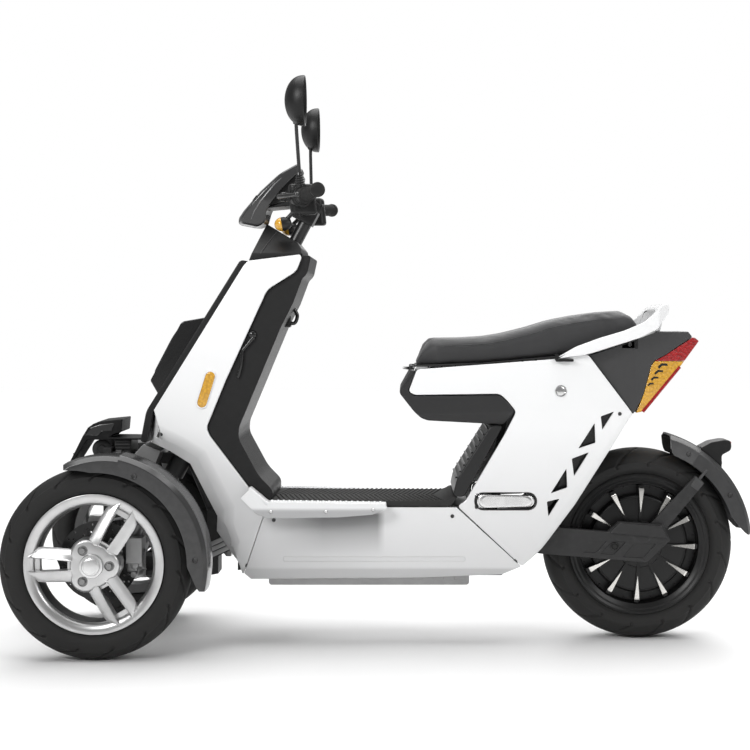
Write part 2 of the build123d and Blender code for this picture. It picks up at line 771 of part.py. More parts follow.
fender_radius = rear_tyre_radius + 46.0
fender_side = rear_tyre_width / 2 + 7.0
fender_lip = rear_tyre_radius + 7.0
plate_top = (rear_axle_x + 221, rear_axle_z + 232)
plate_foot = (rear_axle_x + 221, rear_axle_z + 190)
plate_holder_side = 38.0
plate_hole_spacing = 50.0
plate_hole_radius = 3.2
plate_hole_depth = 11.0
holder_outline = [(167, 235), (195, 262), (236, 272), (247, 256), (244, 245)]

with BuildPart() as rear_fender:
    channel = [
        (fender_lip, fender_side),
        (fender_radius - 10, fender_side),
        (fender_radius, fender_side - 12),
        (fender_radius, -fender_side + 12),
        (fender_radius - 10, -fender_side),
        (fender_lip, -fender_side),
        (fender_lip, -fender_side + 4),
        (fender_radius - 12, -fender_side + 4),
        (fender_radius - 6, -fender_side + 14),
        (fender_radius - 6, fender_side - 14),
        (fender_radius - 12, fender_side - 4),
        (fender_lip, fender_side - 4),
    ]
    add(spun(channel, rear_axle_x, rear_axle_z, 0, arc=71, start=6))
    for side in (-1, 1):
        low, high = sorted((fender_side * side, (swing_side[0] - seat_gap) * side))
        stay = [
            (rear_axle_x + 22, 280),
            (rear_axle_x + 48, 280),
            (rear_axle_x + 156, 420),
            (rear_axle_x + 170, 462),
            (rear_axle_x + 146, 456),
        ]
        add(slab(stay, low, high))
    holder = [(rear_axle_x + x, rear_axle_z + z) for x, z in holder_outline]
    holder += [plate_top, plate_foot]
    add(slab(holder, -plate_holder_side, plate_holder_side))
    add(
        across(rear_axle_x, rear_axle_z, fender_radius - 6, -fender_side + 14, fender_side - 14),
        mode=Mode.SUBTRACT,
    )
    # Two holes for a number plate in the holder's upright rear face.
    plate_middle = (plate_top[0], 0, (plate_top[1] + plate_foot[1]) / 2)
    with BuildSketch(Plane(origin=plate_middle, x_dir=(0, 1, 0), z_dir=(1, 0, 0))):
        with GridLocations(plate_hole_spacing, 0, 2, 1):
            Circle(plate_hole_radius)
    extrude(amount=-plate_hole_depth, mode=Mode.SUBTRACT)
keep("rear_fender", rear_fender.part)

# ---- Front suspension ---------------------------------------------------------------------------

lower_eye = (-86.0, -62.0)
upper_eye = (101.0, 125.0)
eye_radius = 20.0
shock_low_side = 140.0
shock_low_z = lower_pin_z - 1.5
shock_eye_x = (shock_x - 7, shock_x + 7)
shock_bar_radius = 8.0

with BuildPart() as wishbones:
    for side in (-1, 1):
        for eye, pin_z, legs, leg_radius in (
            (lower_eye, lower_pin_z, lower_leg_x, 10.0),
            (upper_eye, upper_pin_z, upper_leg_x, 8.0),
        ):
            middle = steer_point(sum(eye) / 2, side=kingpin_side * side)
            for leg_x in legs:
                inner_end = (leg_x, arm_pin_side * side, pin_z)
                add(rod(inner_end, middle, leg_radius))
                add(rod((leg_x - 12, *inner_end[1:]), (leg_x + 12, *inner_end[1:]), 12))
                bore = arm_pin_radius + seat_gap
                add(
                    rod((leg_x - 30, *inner_end[1:]), (leg_x + 30, *inner_end[1:]), bore),
                    mode=Mode.SUBTRACT,
                )
            add(steer_rod(*eye, eye_radius, side=kingpin_side * side))
            add(
                steer_rod(eye[0] - 1, eye[1] + 1, kingpin_radius + running_gap, side=kingpin_side * side),
                mode=Mode.SUBTRACT,
            )
        bar_side = shock_low_side * side
        bar_ends = (shock_x - 26, shock_x + 26)
        bar = [(x, bar_side, shock_low_z) for x in bar_ends]
        add(rod(*bar, shock_bar_radius))
keep("wishbones", wishbones.part)

with BuildPart() as front_shocks:
    for side in (-1, 1):
        foot = Vector(shock_x, shock_low_side * side, shock_low_z)
        head = Vector(shock_x, shock_top_side * side, shock_top_z)
        along = head - foot
        add(rod(tuple(foot + along * 0.03), tuple(foot + along * 0.97), 6.5))
        add(rod(tuple(foot + along * 0.12), tuple(foot + along * 0.3), 15))
        add(rod(tuple(foot + along * 0.22), tuple(foot + along * 0.88), 21))
        for eye, outer, inner in (
            (foot, 13, shock_bar_radius + seat_gap),
            (head, 12, shock_pin_radius + seat_gap),
        ):
            add(rod((shock_eye_x[0], eye.Y, eye.Z), (shock_eye_x[1], eye.Y, eye.Z), outer))
            bore = [(shock_x + reach, eye.Y, eye.Z) for reach in (-40, 40)]
            add(rod(*bore, inner), mode=Mode.SUBTRACT)
keep("front_shocks", front_shocks.part)

# ---- Knuckles, tie rods and front fenders -------------------------------------------------------

rod_eye_radius = 13.0
rod_pin_radius = 6.0
rod_eye_height = 12.0
steering_arm_low, steering_arm_high = 142.0, 158.0
tie_rod_height = {"left": 134.0, "right": 118.0}
stub_radius = 10.0
hub_inner, hub_outer = 35.0, -31.0  # from the wheel's middle plane, towards the machine's middle
hub_face = 62.0
# The blades rise from the rim to the hub, within this ring of (radius, side) points.
blade_cone = [(20, -62), (60, -55), (149.5, -37), (149.5, -10), (60, -26), (20, -30)]
disc_radius = 100.0
disc_inner, disc_outer = 31.0, 27.0
fender_half = front_tyre_width / 2 + 11.0
front_fender_radius = front_tyre_radius + 36.0
front_fender_lip = front_tyre_radius - 8.0


def knuckle(name):
    """The left knuckle: kingpin, upright, stub axle, steering arm, caliper and fender bracket."""
    side = -kingpin_side
    wheel = -wheel_side
    height = tie_rod_height[name]
    with BuildPart() as part:
        add(steer_rod(lower_eye[1] + 4, upper_eye[0] - 4, 16, side=side))
        add(rod(tuple(steer_point(10, side=side)), (front_axle_x, side, front_axle_z), 16))
        add(across(front_axle_x, front_axle_z, 24, side - 18, side + 14))
        add(steer_rod(lower_eye[0] - 5, steering_arm_high, kingpin_radius, side=side))
        add(steer_rod(lower_eye[0] - 7, lower_eye[0] - 1, 14, side=side))
        add(across(front_axle_x, front_axle_z, stub_radius, wheel + hub_outer - 3, side))
        add(
            steer_block(
                steering_arm_low, steering_arm_high, -14, steering_arm_length + 10, side - 11, side + 11
            )
        )
        add(
            steer_rod(
                height - rod_eye_height / 2 - 1,
                steering_arm_low + 1,
                rod_pin_radius,
                forward=steering_arm_length,
                side=side,
            )
        )
        # The bracket reaches the front fender's inner lip.
        lip = wheel + fender_half + seat_gap
        bracket_top = front_axle_z + front_fender_lip - 2
        bracket = [(107, front_axle_z + 134), (135, front_axle_z + 134), (107, bracket_top)]
        bracket += [(73, bracket_top)]
        add(slab([(front_axle_x + x, z) for x, z in bracket], lip, side + 4))
        # The caliper straddles the brake disc behind the axle.
        pad_x, pad_z = front_axle_x + 84, front_axle_z + 24
        add(box_between(pad_x - 14, pad_x + 26, wheel + 14, side, pad_z - 30, pad_z + 34))
        add(
            across(
                front_axle_x,
                front_axle_z,
                disc_radius + 3,
                wheel + disc_outer - 1.5,
                wheel + disc_inner + 1.5,
            ),
            mode=Mode.SUBTRACT,
        )
        add(across(front_axle_x, front_axle_z, stub_radius, wheel + hub_outer - 3, side))
    return part.part


def front_fender():
    """The left front fender: a crown over the tyre with a lip down each side."""
    half = fender_half
    channel = [
        (front_fender_lip, half),
        (front_fender_radius - 12, half),
        (front_fender_radius, half - 16),
        (front_fender_radius, -half + 16),
        (front_fender_radius - 12, -half),
        (front_fender_lip, -half),
        (front_fender_lip, -half + 3.5),
        (front_fender_radius - 13, -half + 3.5),
        (front_fender_radius - 4, -half + 17),
        (front_fender_radius - 4, half - 17),
        (front_fender_radius - 13, half - 3.5),
        (front_fender_lip, half - 3.5),
    ]
    return spun(channel, front_axle_x + 6, front_axle_z, -wheel_side, arc=117, start=-12)


def tie_rod(name):
    """The left tie rod: a bar from the steering arm's pin to the pitman arm's pin."""
    height = tie_rod_height[name]
    low, high = height - rod_eye_height / 2, height + rod_eye_height / 2
    with BuildPart() as part:
        add(
            rod(
                tuple(steer_point(height, steering_arm_length, -kingpin_side)),
                tuple(steer_point(height, steering_arm_length)),
                5.5,
            )
        )
        for side, gap in ((-kingpin_side, running_gap), (0, 0.5)):
            add(steer_rod(low, high, rod_eye_radius, steering_arm_length, side))
            add(
                steer_rod(low - 1, high + 1, rod_pin_radius + gap, steering_arm_length, side),
                mode=Mode.SUBTRACT,
            )
    return part.part


def front_rim():
    """The left front rim: well, flanges, hub, brake disc and three pairs of spokes."""
    side = -wheel_side
    with BuildPart() as part:
        add(spun(rim_profile(front_bead_radius, front_rim_width), front_axle_x, front_axle_z, side))
        add(across(front_axle_x, front_axle_z, 27, side + hub_outer, side + hub_inner))
        add(across(front_axle_x, front_axle_z, 46, side - hub_face, side - 8))
        add(across(front_axle_x, front_axle_z, 29, side - hub_face - 14, side - hub_face))
        add(across(front_axle_x, front_axle_z, disc_radius, side + disc_outer, side + disc_inner))
        for angle in (60, 180, 300):
            along = Vector(cos(radians(angle)), 0, sin(radians(angle)))
            beside = Vector(-sin(radians(angle)), 0, cos(radians(angle)))
            middle = Vector(front_axle_x, 0, front_axle_z)
            for edge in (-1, 1):
                corners = [(30, 2), (148, 5), (148, 21), (30, 33)]
                bar = [middle + along * u + beside * (v * edge) for u, v in corners]
                with BuildPart() as blade:
                    add(slab([(point.X, point.Z) for point in bar], side - hub_face, side - 10))
                    add(spun(blade_cone, front_axle_x, front_axle_z, side), mode=Mode.INTERSECT)
                add(blade.part)
        add(
            across(front_axle_x, front_axle_z, stub_radius + running_gap, side - 60, side + 60),
            mode=Mode.SUBTRACT,
        )
    return part.part


for name in ("left", "right"):
    tyre = round_tyre(
        front_bead_radius,
        front_tyre_radius,
        front_tyre_width,
        front_rim_width,
        front_axle_x,
        front_axle_z,
        -wheel_side,
    )
    for piece, shape in (
        ("knuckle", knuckle(name)),
        ("front_fender", front_fender()),
        ("tie_rod", tie_rod(name)),
        ("front_rim", front_rim()),
        ("front_tyre", tyre),
    ):
        keep(f"{piece}_{name}", shape if name == "left" else mirrored(shape))

# ---- Steering column, handlebar and what it carries ---------------------------------------------

bar_middle = Vector(-222, 0, 1122)
grip_end = Vector(-160, 350, 1155)
grip_bend = Vector(-221.3, 190, 1144.3)
grip_way = (grip_end - grip_bend).normalized()
half_bar = [(-222, 62, 1122), (-224, 120, 1140), tuple(grip_bend), tuple(grip_end - grip_way * 2)]


def flipped(point):
    return (point[0], -point[1], point[2])


def bar_solid(radius):
    """The bent handlebar tube."""
    path_points = [flipped(p) for p in half_bar[::-1]] + half_bar
    with BuildPart() as tube:
        with BuildLine() as path:
            FilletPolyline(*path_points, radius=28)
        with BuildSketch(Plane(path_points[0], z_dir=path.line % 0)):
            Circle(radius)
        sweep()
    return tube.part


bar_clamp_z = (column_length - 10, column_length + 30)
bar_clamp_reach = (-21.0, 40.0)
bar_clamp_side = 30.0

with BuildPart() as handlebar:
    add(steer_rod(steering_arm_low - 4, column_length + 7, column_radius))
    add(steer_rod(head_high + 0.5, head_high + 14.5, 24))
    reach = steering_arm_length + 11
    add(steer_block(steering_arm_low, steering_arm_high, -15, reach, -11, 11))
    pin_low = tie_rod_height["right"] - rod_eye_height / 2 - 1
    add(steer_rod(pin_low, steering_arm_low + 1, rod_pin_radius, forward=steering_arm_length))
    add(steer_block(*bar_clamp_z, *bar_clamp_reach, -bar_clamp_side, bar_clamp_side))
    add(bar_solid(bar_radius))
keep("handlebar", handlebar.part)

housing_start, housing_end = 16.0, 66.0
housing_radius = 22.0
barrel_start, barrel_end = 20.0, 50.0
barrel_radius = 29.0
with BuildPart() as hand_controls:
    for side in (-1, 1):
        near = Vector(grip_bend.X, grip_bend.Y * side, grip_bend.Z)
        way = Vector(grip_way.X, grip_way.Y * side, grip_way.Z)
        housing = (tuple(near + way * housing_start), tuple(near + way * housing_end))
        add(rod(*housing, housing_radius))
        barrel = (tuple(near + way * barrel_start), tuple(near + way * barrel_end))
        add(rod(*barrel, barrel_radius))
        perch = near + way * 30
        lever = [
            (perch.X, abs(perch.Y)),
            (perch.X - 48, abs(perch.Y) + 6),
            (perch.X - 44, abs(perch.Y) + 40),
            (perch.X + 6, abs(perch.Y) + 135),
            (perch.X - 6, abs(perch.Y) + 138),
            (perch.X - 58, abs(perch.Y) + 42),
            (perch.X - 62, abs(perch.Y) - 10),
            (perch.X, abs(perch.Y) - 16),
        ]
        add(plan_slab([(x, y * side) for x, y in lever], perch.Z - 6, perch.Z + 6))
    add(bar_solid(bar_radius + 0.1), mode=Mode.SUBTRACT)
keep("hand_controls", hand_controls.part)

with BuildPart() as grips:
    for side in (-1, 1):
        near = Vector(grip_bend.X, grip_bend.Y * side, grip_bend.Z)
        way = Vector(grip_way.X, grip_way.Y * side, grip_way.Z)
        end = Vector(grip_end.X, grip_end.Y * side, grip_end.Z)
        add(rod(tuple(near + way * (housing_end + seat_gap)), tuple(end), 16.5))
    add(bar_solid(bar_radius + 0.1), mode=Mode.SUBTRACT)
keep("grips", grips.part)

mirror_radius = 62.5
with BuildPart() as mirrors:
    for side in (-1, 1):
        boot = Vector(-211, 225 * side, 1164)
        knee = Vector(-213, 232 * side, 1196)
        neck = Vector(-217, 280 * side, 1330)
        add(rod(tuple(boot), tuple(knee), 8))
        add(rod(tuple(knee), tuple(neck), 4.5))
        head = Vector(-195, 290 * side, 1379)
        with BuildSketch(Plane(origin=tuple(head), x_dir=(0, 1, 0), z_dir=(1, 0, 0))):
            Circle(mirror_radius)
        extrude(amount=-14)
        add(rod((-209, head.Y, head.Z), (-230, head.Y, head.Z), mirror_radius - 9))
        add(rod((-230, head.Y, head.Z), (-246, head.Y, head.Z), mirror_radius - 28))
        near = Vector(grip_bend.X, grip_bend.Y * side, grip_bend.Z)
        way = Vector(grip_way.X, grip_way.Y * side, grip_way.Z)
        barrel = (tuple(near + way * (barrel_start - 4)), tuple(near + way * (barrel_end + 4)))
        add(rod(*barrel, barrel_radius + seat_gap), mode=Mode.SUBTRACT)
keep("mirrors", mirrors.part)

visor_back = [(-346, 1082), (-330, 1094), (-321, 1132), (-277, 1188), (-233, 1232)]
visor_side = 78.0
with BuildPart() as head_fairing:
    visor = visor_back + [(-240, 1248), (-284, 1223), (-334, 1176), (-377, 1126), (-390, 1107)]
    visor += [(-391, 1091)]
    add(slab(visor, -visor_side, visor_side))
keep("head_fairing", head_fairing.part)

with BuildPart() as dashboard:
    panel = [(x + 0.6, z) for x, z in visor_back[2:]]
    panel += [(-219, 1224), (-225, 1172), (-228, 1152), (-240, 1138), (-316, 1131)]
    add(slab(panel, -60, 60))
    add(bar_solid(bar_radius + seat_gap), mode=Mode.SUBTRACT)
    add(
        steer_block(
            bar_clamp_z[0] - seat_gap,
            bar_clamp_z[1] + seat_gap,
            bar_clamp_reach[0],
            bar_clamp_reach[1] + seat_gap,
            -bar_clamp_side - seat_gap,
            bar_clamp_side + seat_gap,
        ),
        mode=Mode.SUBTRACT,
    )
keep("dashboard", dashboard.part)

with BuildPart() as front_indicators:
    for side in (-1, 1):
        add(rod((-290, 108 * side, 1082), (-262, 108 * side, 1090), 15))
        add(rod((-270, 108 * side, 1088), (-223, 112 * side, 1132), 5))
    add(bar_solid(bar_radius + seat_gap), mode=Mode.SUBTRACT)
keep("front_indicators", front_indicators.part)

# ---- Write one file for each piece --------------------------------------------------------------

os.makedirs("parts", exist_ok=True)
for name, shape in pieces.items():
    export_step(shape, f"parts/{name}.step")
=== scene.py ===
from math import atan2, cos, pi, radians, sin, tau

import bmesh
import bpy
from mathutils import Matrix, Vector
from mathutils.bvhtree import BVHTree


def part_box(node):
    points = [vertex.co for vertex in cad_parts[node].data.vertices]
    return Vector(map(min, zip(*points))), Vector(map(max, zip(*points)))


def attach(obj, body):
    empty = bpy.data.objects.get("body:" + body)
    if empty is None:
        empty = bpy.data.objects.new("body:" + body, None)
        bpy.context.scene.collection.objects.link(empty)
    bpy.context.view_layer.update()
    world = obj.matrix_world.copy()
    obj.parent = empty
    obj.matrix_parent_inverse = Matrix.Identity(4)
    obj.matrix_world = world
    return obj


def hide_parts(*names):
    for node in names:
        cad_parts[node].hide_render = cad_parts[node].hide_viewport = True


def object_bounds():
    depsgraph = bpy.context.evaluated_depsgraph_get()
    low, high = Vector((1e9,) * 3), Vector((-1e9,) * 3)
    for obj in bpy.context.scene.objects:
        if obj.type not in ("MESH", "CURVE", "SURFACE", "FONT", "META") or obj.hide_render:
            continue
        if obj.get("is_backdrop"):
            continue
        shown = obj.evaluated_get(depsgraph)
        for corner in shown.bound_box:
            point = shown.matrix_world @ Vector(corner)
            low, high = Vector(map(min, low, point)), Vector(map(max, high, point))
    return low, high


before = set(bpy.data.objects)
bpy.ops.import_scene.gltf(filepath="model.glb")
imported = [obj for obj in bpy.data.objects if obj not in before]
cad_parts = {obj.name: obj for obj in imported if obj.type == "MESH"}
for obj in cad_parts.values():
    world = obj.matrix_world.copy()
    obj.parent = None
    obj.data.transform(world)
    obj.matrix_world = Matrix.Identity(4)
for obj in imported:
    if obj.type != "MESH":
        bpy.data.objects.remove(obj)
cad_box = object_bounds()

# ---- Studio -------------------------------------------------------------------------------------
# The machine stands on a pale floor that fades into a white room. Big soft lights hang above it and
# in front of its left side, and the camera looks at that side from four metres away.

camera_place = (0.056, -4.0, 0.838)
camera_lens = 72.2
camera_shift = (-0.0427, -0.0733)


class Socket:
    """An output of a shader node. Sums with it, such as 1 - grain * 0.3, add their Math nodes."""

    def __init__(self, finish, output):
        self.finish = finish
        self.output = output

    def math(self, operation, first, second):
        return self.finish.node("ShaderNodeMath", {"operation": operation}, {0: first, 1: second})

    def __add__(self, other):
        return self.math("ADD", self, other)

    def __sub__(self, other):
        return self.math("SUBTRACT", self, other)

    def __rsub__(self, other):
        return self.math("SUBTRACT", other, self)

    def __mul__(self, other):
        return self.math("MULTIPLY", self, other)

    def __truediv__(self, other):
        return self.math("DIVIDE", self, other)

    def __pow__(self, other):
        return self.math("POWER", self, other)

    def __gt__(self, other):
        return self.math("GREATER_THAN", self, other)

    def __lt__(self, other):
        return self.math("LESS_THAN", self, other)

    __radd__ = __add__
    __rmul__ = __mul__


class Finish:
    """A material. Named values go to the Principled shader, with _ for each space."""

    def __init__(self, name, **values):
        self.material = bpy.data.materials.new(name)
        self.material.use_nodes = True
        self.tree = self.material.node_tree
        self.shader = self.tree.nodes["Principled BSDF"]
        self.set(**values)

    def put(self, socket, value):
        if isinstance(value, Socket):
            self.tree.links.new(value.output, socket)
        elif socket.type == "RGBA" and len(value) == 3:
            socket.default_value = (*value, 1)
        else:
            socket.default_value = value

    def set(self, **values):
        known = {socket.name.lower(): socket for socket in self.shader.inputs}
        for name, value in values.items():
            self.put(known[name.replace("_", " ")], value)

    def node(self, kind, settings, sockets, give=0):
        """Adds a node: its settings first, then its sockets, and returns one of its outputs."""
        made = self.tree.nodes.new(kind)
        for name, value in settings.items():
            if name == "stops":
                ramp = made.color_ramp.elements
                while len(ramp) < len(value):
                    ramp.new(1)
                for stop, (place, color) in zip(ramp, value):
                    stop.position = place
                    stop.color = (*color, 1)
            else:
                setattr(made, name, value)
        for name, value in sockets.items():
            self.put(made.inputs[name], value)
        return Socket(self, made.outputs[give])

    def place(self):
        """Where a point of the surface is in the machine's frame, in metres."""
        return self.node("ShaderNodeTexCoord", {}, {}, give=3)

    def part(self, vector, axis):
        """One coordinate of a vector: 0, 1 or 2."""
        return self.node("ShaderNodeSeparateXYZ", {}, {0: vector}, give=axis)

    def vector(self, operation, first, second):
        return self.node("ShaderNodeVectorMath", {"operation": operation}, {0: first, 1: second})

    def clouds(self, scale, detail=3.0, where=None, rough=0.5):
        """Soft noise from 0 to 1, with about scale patches to the metre."""
        sockets = {"Vector": where or self.place(), "Scale": scale, "Detail": detail, "Roughness": rough}
        return self.node("ShaderNodeTexNoise", {}, sockets)

    def cells(self, scale, feature="F1", where=None):
        """Distance inside a pattern of cells, with about scale cells to the metre."""
        sockets = {"Vector": where or self.place(), "Scale": scale}
        return self.node("ShaderNodeTexVoronoi", {"feature": feature}, sockets)

    def ramp(self, share, *stops):
        """Turns a value into a grey or a colour by its stops."""
        colors = [(at, (color,) * 3 if isinstance(color, float) else color) for at, color in stops]
        return self.node("ShaderNodeValToRGB", {"stops": colors}, {0: share})

    def mix(self, share, first, second):
        """A colour between two colours."""
        sockets = {0: share, 6: first, 7: second}
        return self.node("ShaderNodeMix", {"data_type": "RGBA"}, sockets, give=2)

    def bump(self, height, distance, strength=1.0):
        sockets = {"Strength": strength, "Distance": distance, "Height": height}
        self.set(normal=self.node("ShaderNodeBump", {}, sockets))


floor_finish = Finish("studio_floor", roughness=0.5, specular_ior_level=0.3)
floor_finish.set(base_color=floor_finish.mix(floor_finish.clouds(0.6), (0.9, 0.9, 0.9), (0.93, 0.93, 0.93)))

floor_shape = bmesh.new()
bmesh.ops.create_grid(floor_shape, x_segments=2, y_segments=2, size=14)
floor_mesh = bpy.data.meshes.new("studio_floor")
floor_shape.to_mesh(floor_mesh)
floor_shape.free()
floor_mesh.materials.append(floor_finish.material)
studio_floor = bpy.data.objects.new("studio_floor", floor_mesh)
bpy.context.scene.collection.objects.link(studio_floor)
studio_floor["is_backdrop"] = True


def soft_light(name, place, target, size, watts, spread=180):
    """A square soft box, turned to face a point, with its beam's angle."""
    lamp = bpy.data.lights.new(name, "AREA")
    lamp.size = size
    lamp.energy = watts
    lamp.spread = radians(spread)
    box = bpy.data.objects.new(name, lamp)
    box.location = place
    box.rotation_euler = (Vector(target) - Vector(place)).to_track_quat("-Z", "Y").to_euler()
    bpy.context.scene.collection.objects.link(box)


soft_light("light_left", (-2.2, -2.9, 2.7), (-0.1, 0, 1.4), 1.4, 14, 62)
soft_light("light_right", (3.0, -2.2, 2.6), (0.5, 0, 1.3), 1.2, 7, 70)
soft_light("light_behind", (0.8, 3.4, 2.6), (0, 0, 0.5), 2.0, 30)

# A wide even light falls from straight above, like a lit ceiling.
ceiling = bpy.data.objects.new("light_ceiling", bpy.data.lights.new("light_ceiling", "SUN"))
ceiling.data.energy = 3.1
ceiling.data.angle = radians(75)
ceiling.rotation_euler = (radians(-16), radians(6), 0)
bpy.context.scene.collection.objects.link(ceiling)

# The room is white where it is seen, and about a quarter as bright as a light.
room = bpy.data.worlds.new("white_room")
room.use_nodes = True
seen = room.node_tree.nodes.new("ShaderNodeLightPath").outputs["Is Camera Ray"]
glow = room.node_tree.nodes.new("ShaderNodeMapRange")
glow.inputs["To Min"].default_value = 0.28
glow.inputs["To Max"].default_value = 1.0
room.node_tree.links.new(seen, glow.inputs["Value"])
room.node_tree.links.new(glow.outputs["Result"], room.node_tree.nodes["Background"].inputs["Strength"])
room.node_tree.nodes["Background"].inputs["Color"].default_value = (1, 1, 1, 1)
bpy.context.scene.world = room
bpy.context.scene.view_settings.view_transform = "Standard"

camera = bpy.data.objects.new("camera", bpy.data.cameras.new("camera"))
camera.location = camera_place
camera.rotation_euler = (pi / 2, 0, 0)
camera.data.lens = camera_lens
camera.data.shift_x, camera.data.shift_y = camera_shift
bpy.context.scene.collection.objects.link(camera)
bpy.context.scene.camera = camera

# ---- Frame --------------------------------------------------------------------------------------
# The frame is welded from steel tube and plate: the head tube and floor rails, the subframe that
# carries the front suspension, and the seat rails. It is powder coated in satin black.


def worn_edges(finish):
    """1 where an edge sticks out far enough to be rubbed, broken up by noise."""
    sharp = finish.ramp(
        finish.node("ShaderNodeNewGeometry", {}, {}, give="Pointiness"), (0.515, 0.0), (0.56, 1.0)
    )
    return sharp * finish.ramp(finish.clouds(60), (0.4, 0.0), (0.6, 1.0))


def low_dust(finish, top=0.45):
    """1 near the floor and 0 above a height, in soft patches."""
    height = finish.part(finish.place(), 2)
    return finish.ramp(height, (0.05, 1.0), (top, 0.0)) * finish.clouds(11, detail=6)


def powder_coat(name, tone, rough=0.42):
    """Baked powder: an even satin skin with a fine ripple."""
    coat = Finish(name, specular_ior_level=0.5)
    worn, dust = worn_edges(coat), low_dust(coat)
    clean = coat.mix(worn * 0.2, (tone, tone, tone * 1.03), (tone * 2 + 0.02,) * 3)
    coat.set(
        base_color=coat.mix(dust * 0.06, clean, (0.11, 0.1, 0.09)),
        roughness=rough + dust * 0.25 + coat.clouds(40) * 0.08,
    )
    coat.bump(coat.clouds(900, detail=2), 0.0001)
    return coat.material


def welded(node):
    """A CAD node's shape, with the points that its faces share made one."""
    shape = bmesh.new()
    shape.from_mesh(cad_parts[node].data)
    bmesh.ops.remove_doubles(shape, verts=shape.verts, dist=1e-5)
    return shape


def copied(node):
    """A CAD node's shape, with its flat faces whole again."""
    shape = welded(node)
    bmesh.ops.dissolve_limit(shape, angle_limit=radians(0.8), verts=shape.verts, edges=shape.edges)
    return shape


def sharp_edges(shape, angle=30, test=None):
    """The edges where two faces meet at more than an angle, and which pass a test."""
    shape.normal_update()
    found = [e for e in shape.edges if len(e.link_faces) == 2 and e.calc_face_angle(0) > radians(angle)]
    return [e for e in found if test is None or test(e)]


def round_off(shape, edges, radius, segments=3):
    """Rounds edges over to a radius."""
    bmesh.ops.bevel(
        shape, geom=edges, offset=radius, segments=segments, profile=0.5, affect="EDGES", clamp_overlap=False
    )


def across_panel(edge):
    """Whether an edge runs mostly from one side of the machine to the other."""
    run = edge.verts[1].co - edge.verts[0].co
    return abs(run.y) > 0.8 * run.length


def round_corners(shape, radius):
    """Rounds the corners of a piece's side view, each as far as its neighbours leave room for."""
    corners = [(e.verts[0].co + e.verts[1].co) / 2 for e in sharp_edges(shape, 8, across_panel)]
    for corner in corners:
        edge = min(shape.edges, key=lambda e: ((e.verts[0].co + e.verts[1].co) / 2 - corner).length)
        beside = {e for v in edge.verts for e in v.link_edges if not across_panel(e)}
        room = min((e.calc_length() for e in beside), default=0)
        if across_panel(edge) and room > 0.002:
            round_off(shape, [edge], min(radius, 0.4 * room), 4)


def softened(node, edge=0.0012, corner=0.0, segments=2, angle=30):
    """A CAD node's shape with rounded side-view corners and then rounded edges."""
    shape = copied(node)
    if corner:
        round_corners(shape, corner)
    round_off(shape, sharp_edges(shape, angle), edge, segments)
    return shape


def piece(name, shape, finish, body, stands_for=(), smooth=35):
    """Makes a shape a piece of the machine: its finish, the body it rides on and what it replaces."""
    mesh = bpy.data.meshes.new(name)
    bmesh.ops.remove_doubles(shape, verts=shape.verts, dist=1e-6)
    bmesh.ops.recalc_face_normals(shape, faces=shape.faces)
    shape.to_mesh(mesh)
    shape.free()
    mesh.materials.append(finish)
    mesh.polygons.foreach_set("use_smooth", [True] * len(mesh.polygons))
    mesh.set_sharp_from_angle(angle=radians(smooth))
    thing = bpy.data.objects.new(name, mesh)
    bpy.context.scene.collection.objects.link(thing)
    thing.modifiers.new("even_shading", "WEIGHTED_NORMAL").keep_sharp = True
    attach(thing, body)
    if stands_for:
        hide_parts(*stands_for)
    return thing


frame_coat = powder_coat("frame_powder_coat", 0.016)
for node in ("front_subframe", "seat_frame"):
    piece(f"{node}_steel", softened(node, 0.0008, angle=50), frame_coat, "chassis", [node])

# ---- White side panels --------------------------------------------------------------------------
# Moulded and painted panels run down each side of the leg shield, along the floor as a skirt, and up
# beside the seat. They are clipped and screwed to the covers, with thin seams between them.


def white_paint(name):
    """Gloss white over moulded plastic, with a faint ripple and a little dust low down. Painted shade greys
    it towards the bottom, most of all in front, under the foot plates and on the skirts' bottom band. A ramp
    runs from 0 to 1, so it reads a place plus 1."""
    paint = Finish(name, coat_roughness=0.08, specular_ior_level=0.4)
    dust = low_dust(paint, 0.3)
    along, height = paint.part(paint.place(), 0), paint.part(paint.place(), 2)
    # Painted shade: the white greys from 0.56 m down to 0.2 m high, and more so in front of the middle.
    low_shade = paint.ramp(height, (0.2, 1.0), (0.56, 0.0))
    front_shade = low_shade * paint.ramp(along + 1, (0.56, 1.0), (1.0, 0.0))
    # Painted shadow just under the foot plates, between 0.235 m and 0.352 m high, along the plates' length.
    step_shadow = paint.ramp(height, (0.235, 0.0), (0.34, 1.0), (0.352, 0.0))
    step_shadow = step_shadow * paint.ramp(along + 1, (0.7, 0.0), (0.84, 1.0), (0.98, 1.0), (1.12, 0.0))
    clean = paint.mix(paint.clouds(2.5), (0.84, 0.845, 0.85), (0.865, 0.868, 0.87))
    shaded = paint.mix(low_shade * 0.55, clean, (0.5, 0.5, 0.505))
    shaded = paint.mix(front_shade * 0.5, shaded, (0.3, 0.3, 0.305))
    shaded = paint.mix(step_shadow * 0.9, shaded, (0.1, 0.1, 0.102))
    # Painted shade on the bottom band below 0.2 m, where the skirts lean in under their crease.
    shaded = paint.mix(paint.ramp(height, (0.2, 1.0), (0.205, 0.0)) * 0.45, shaded, (0.3, 0.3, 0.305))
    paint.set(
        base_color=paint.mix(dust * 0.2, shaded, (0.55, 0.54, 0.52)),
        roughness=0.27 + dust * 0.3 + paint.clouds(30) * 0.08,
        coat_weight=0.4 - dust * 0.35,
    )
    paint.bump(paint.clouds(160, detail=1), 0.00005)
    return paint.material


def cut(shape, start, way):
    """Cuts a shape's faces along a plane, so that it can be bent there."""
    parts = [*shape.verts, *shape.edges, *shape.faces]
    bmesh.ops.bisect_plane(shape, geom=parts, dist=1e-6, plane_co=start, plane_no=way)


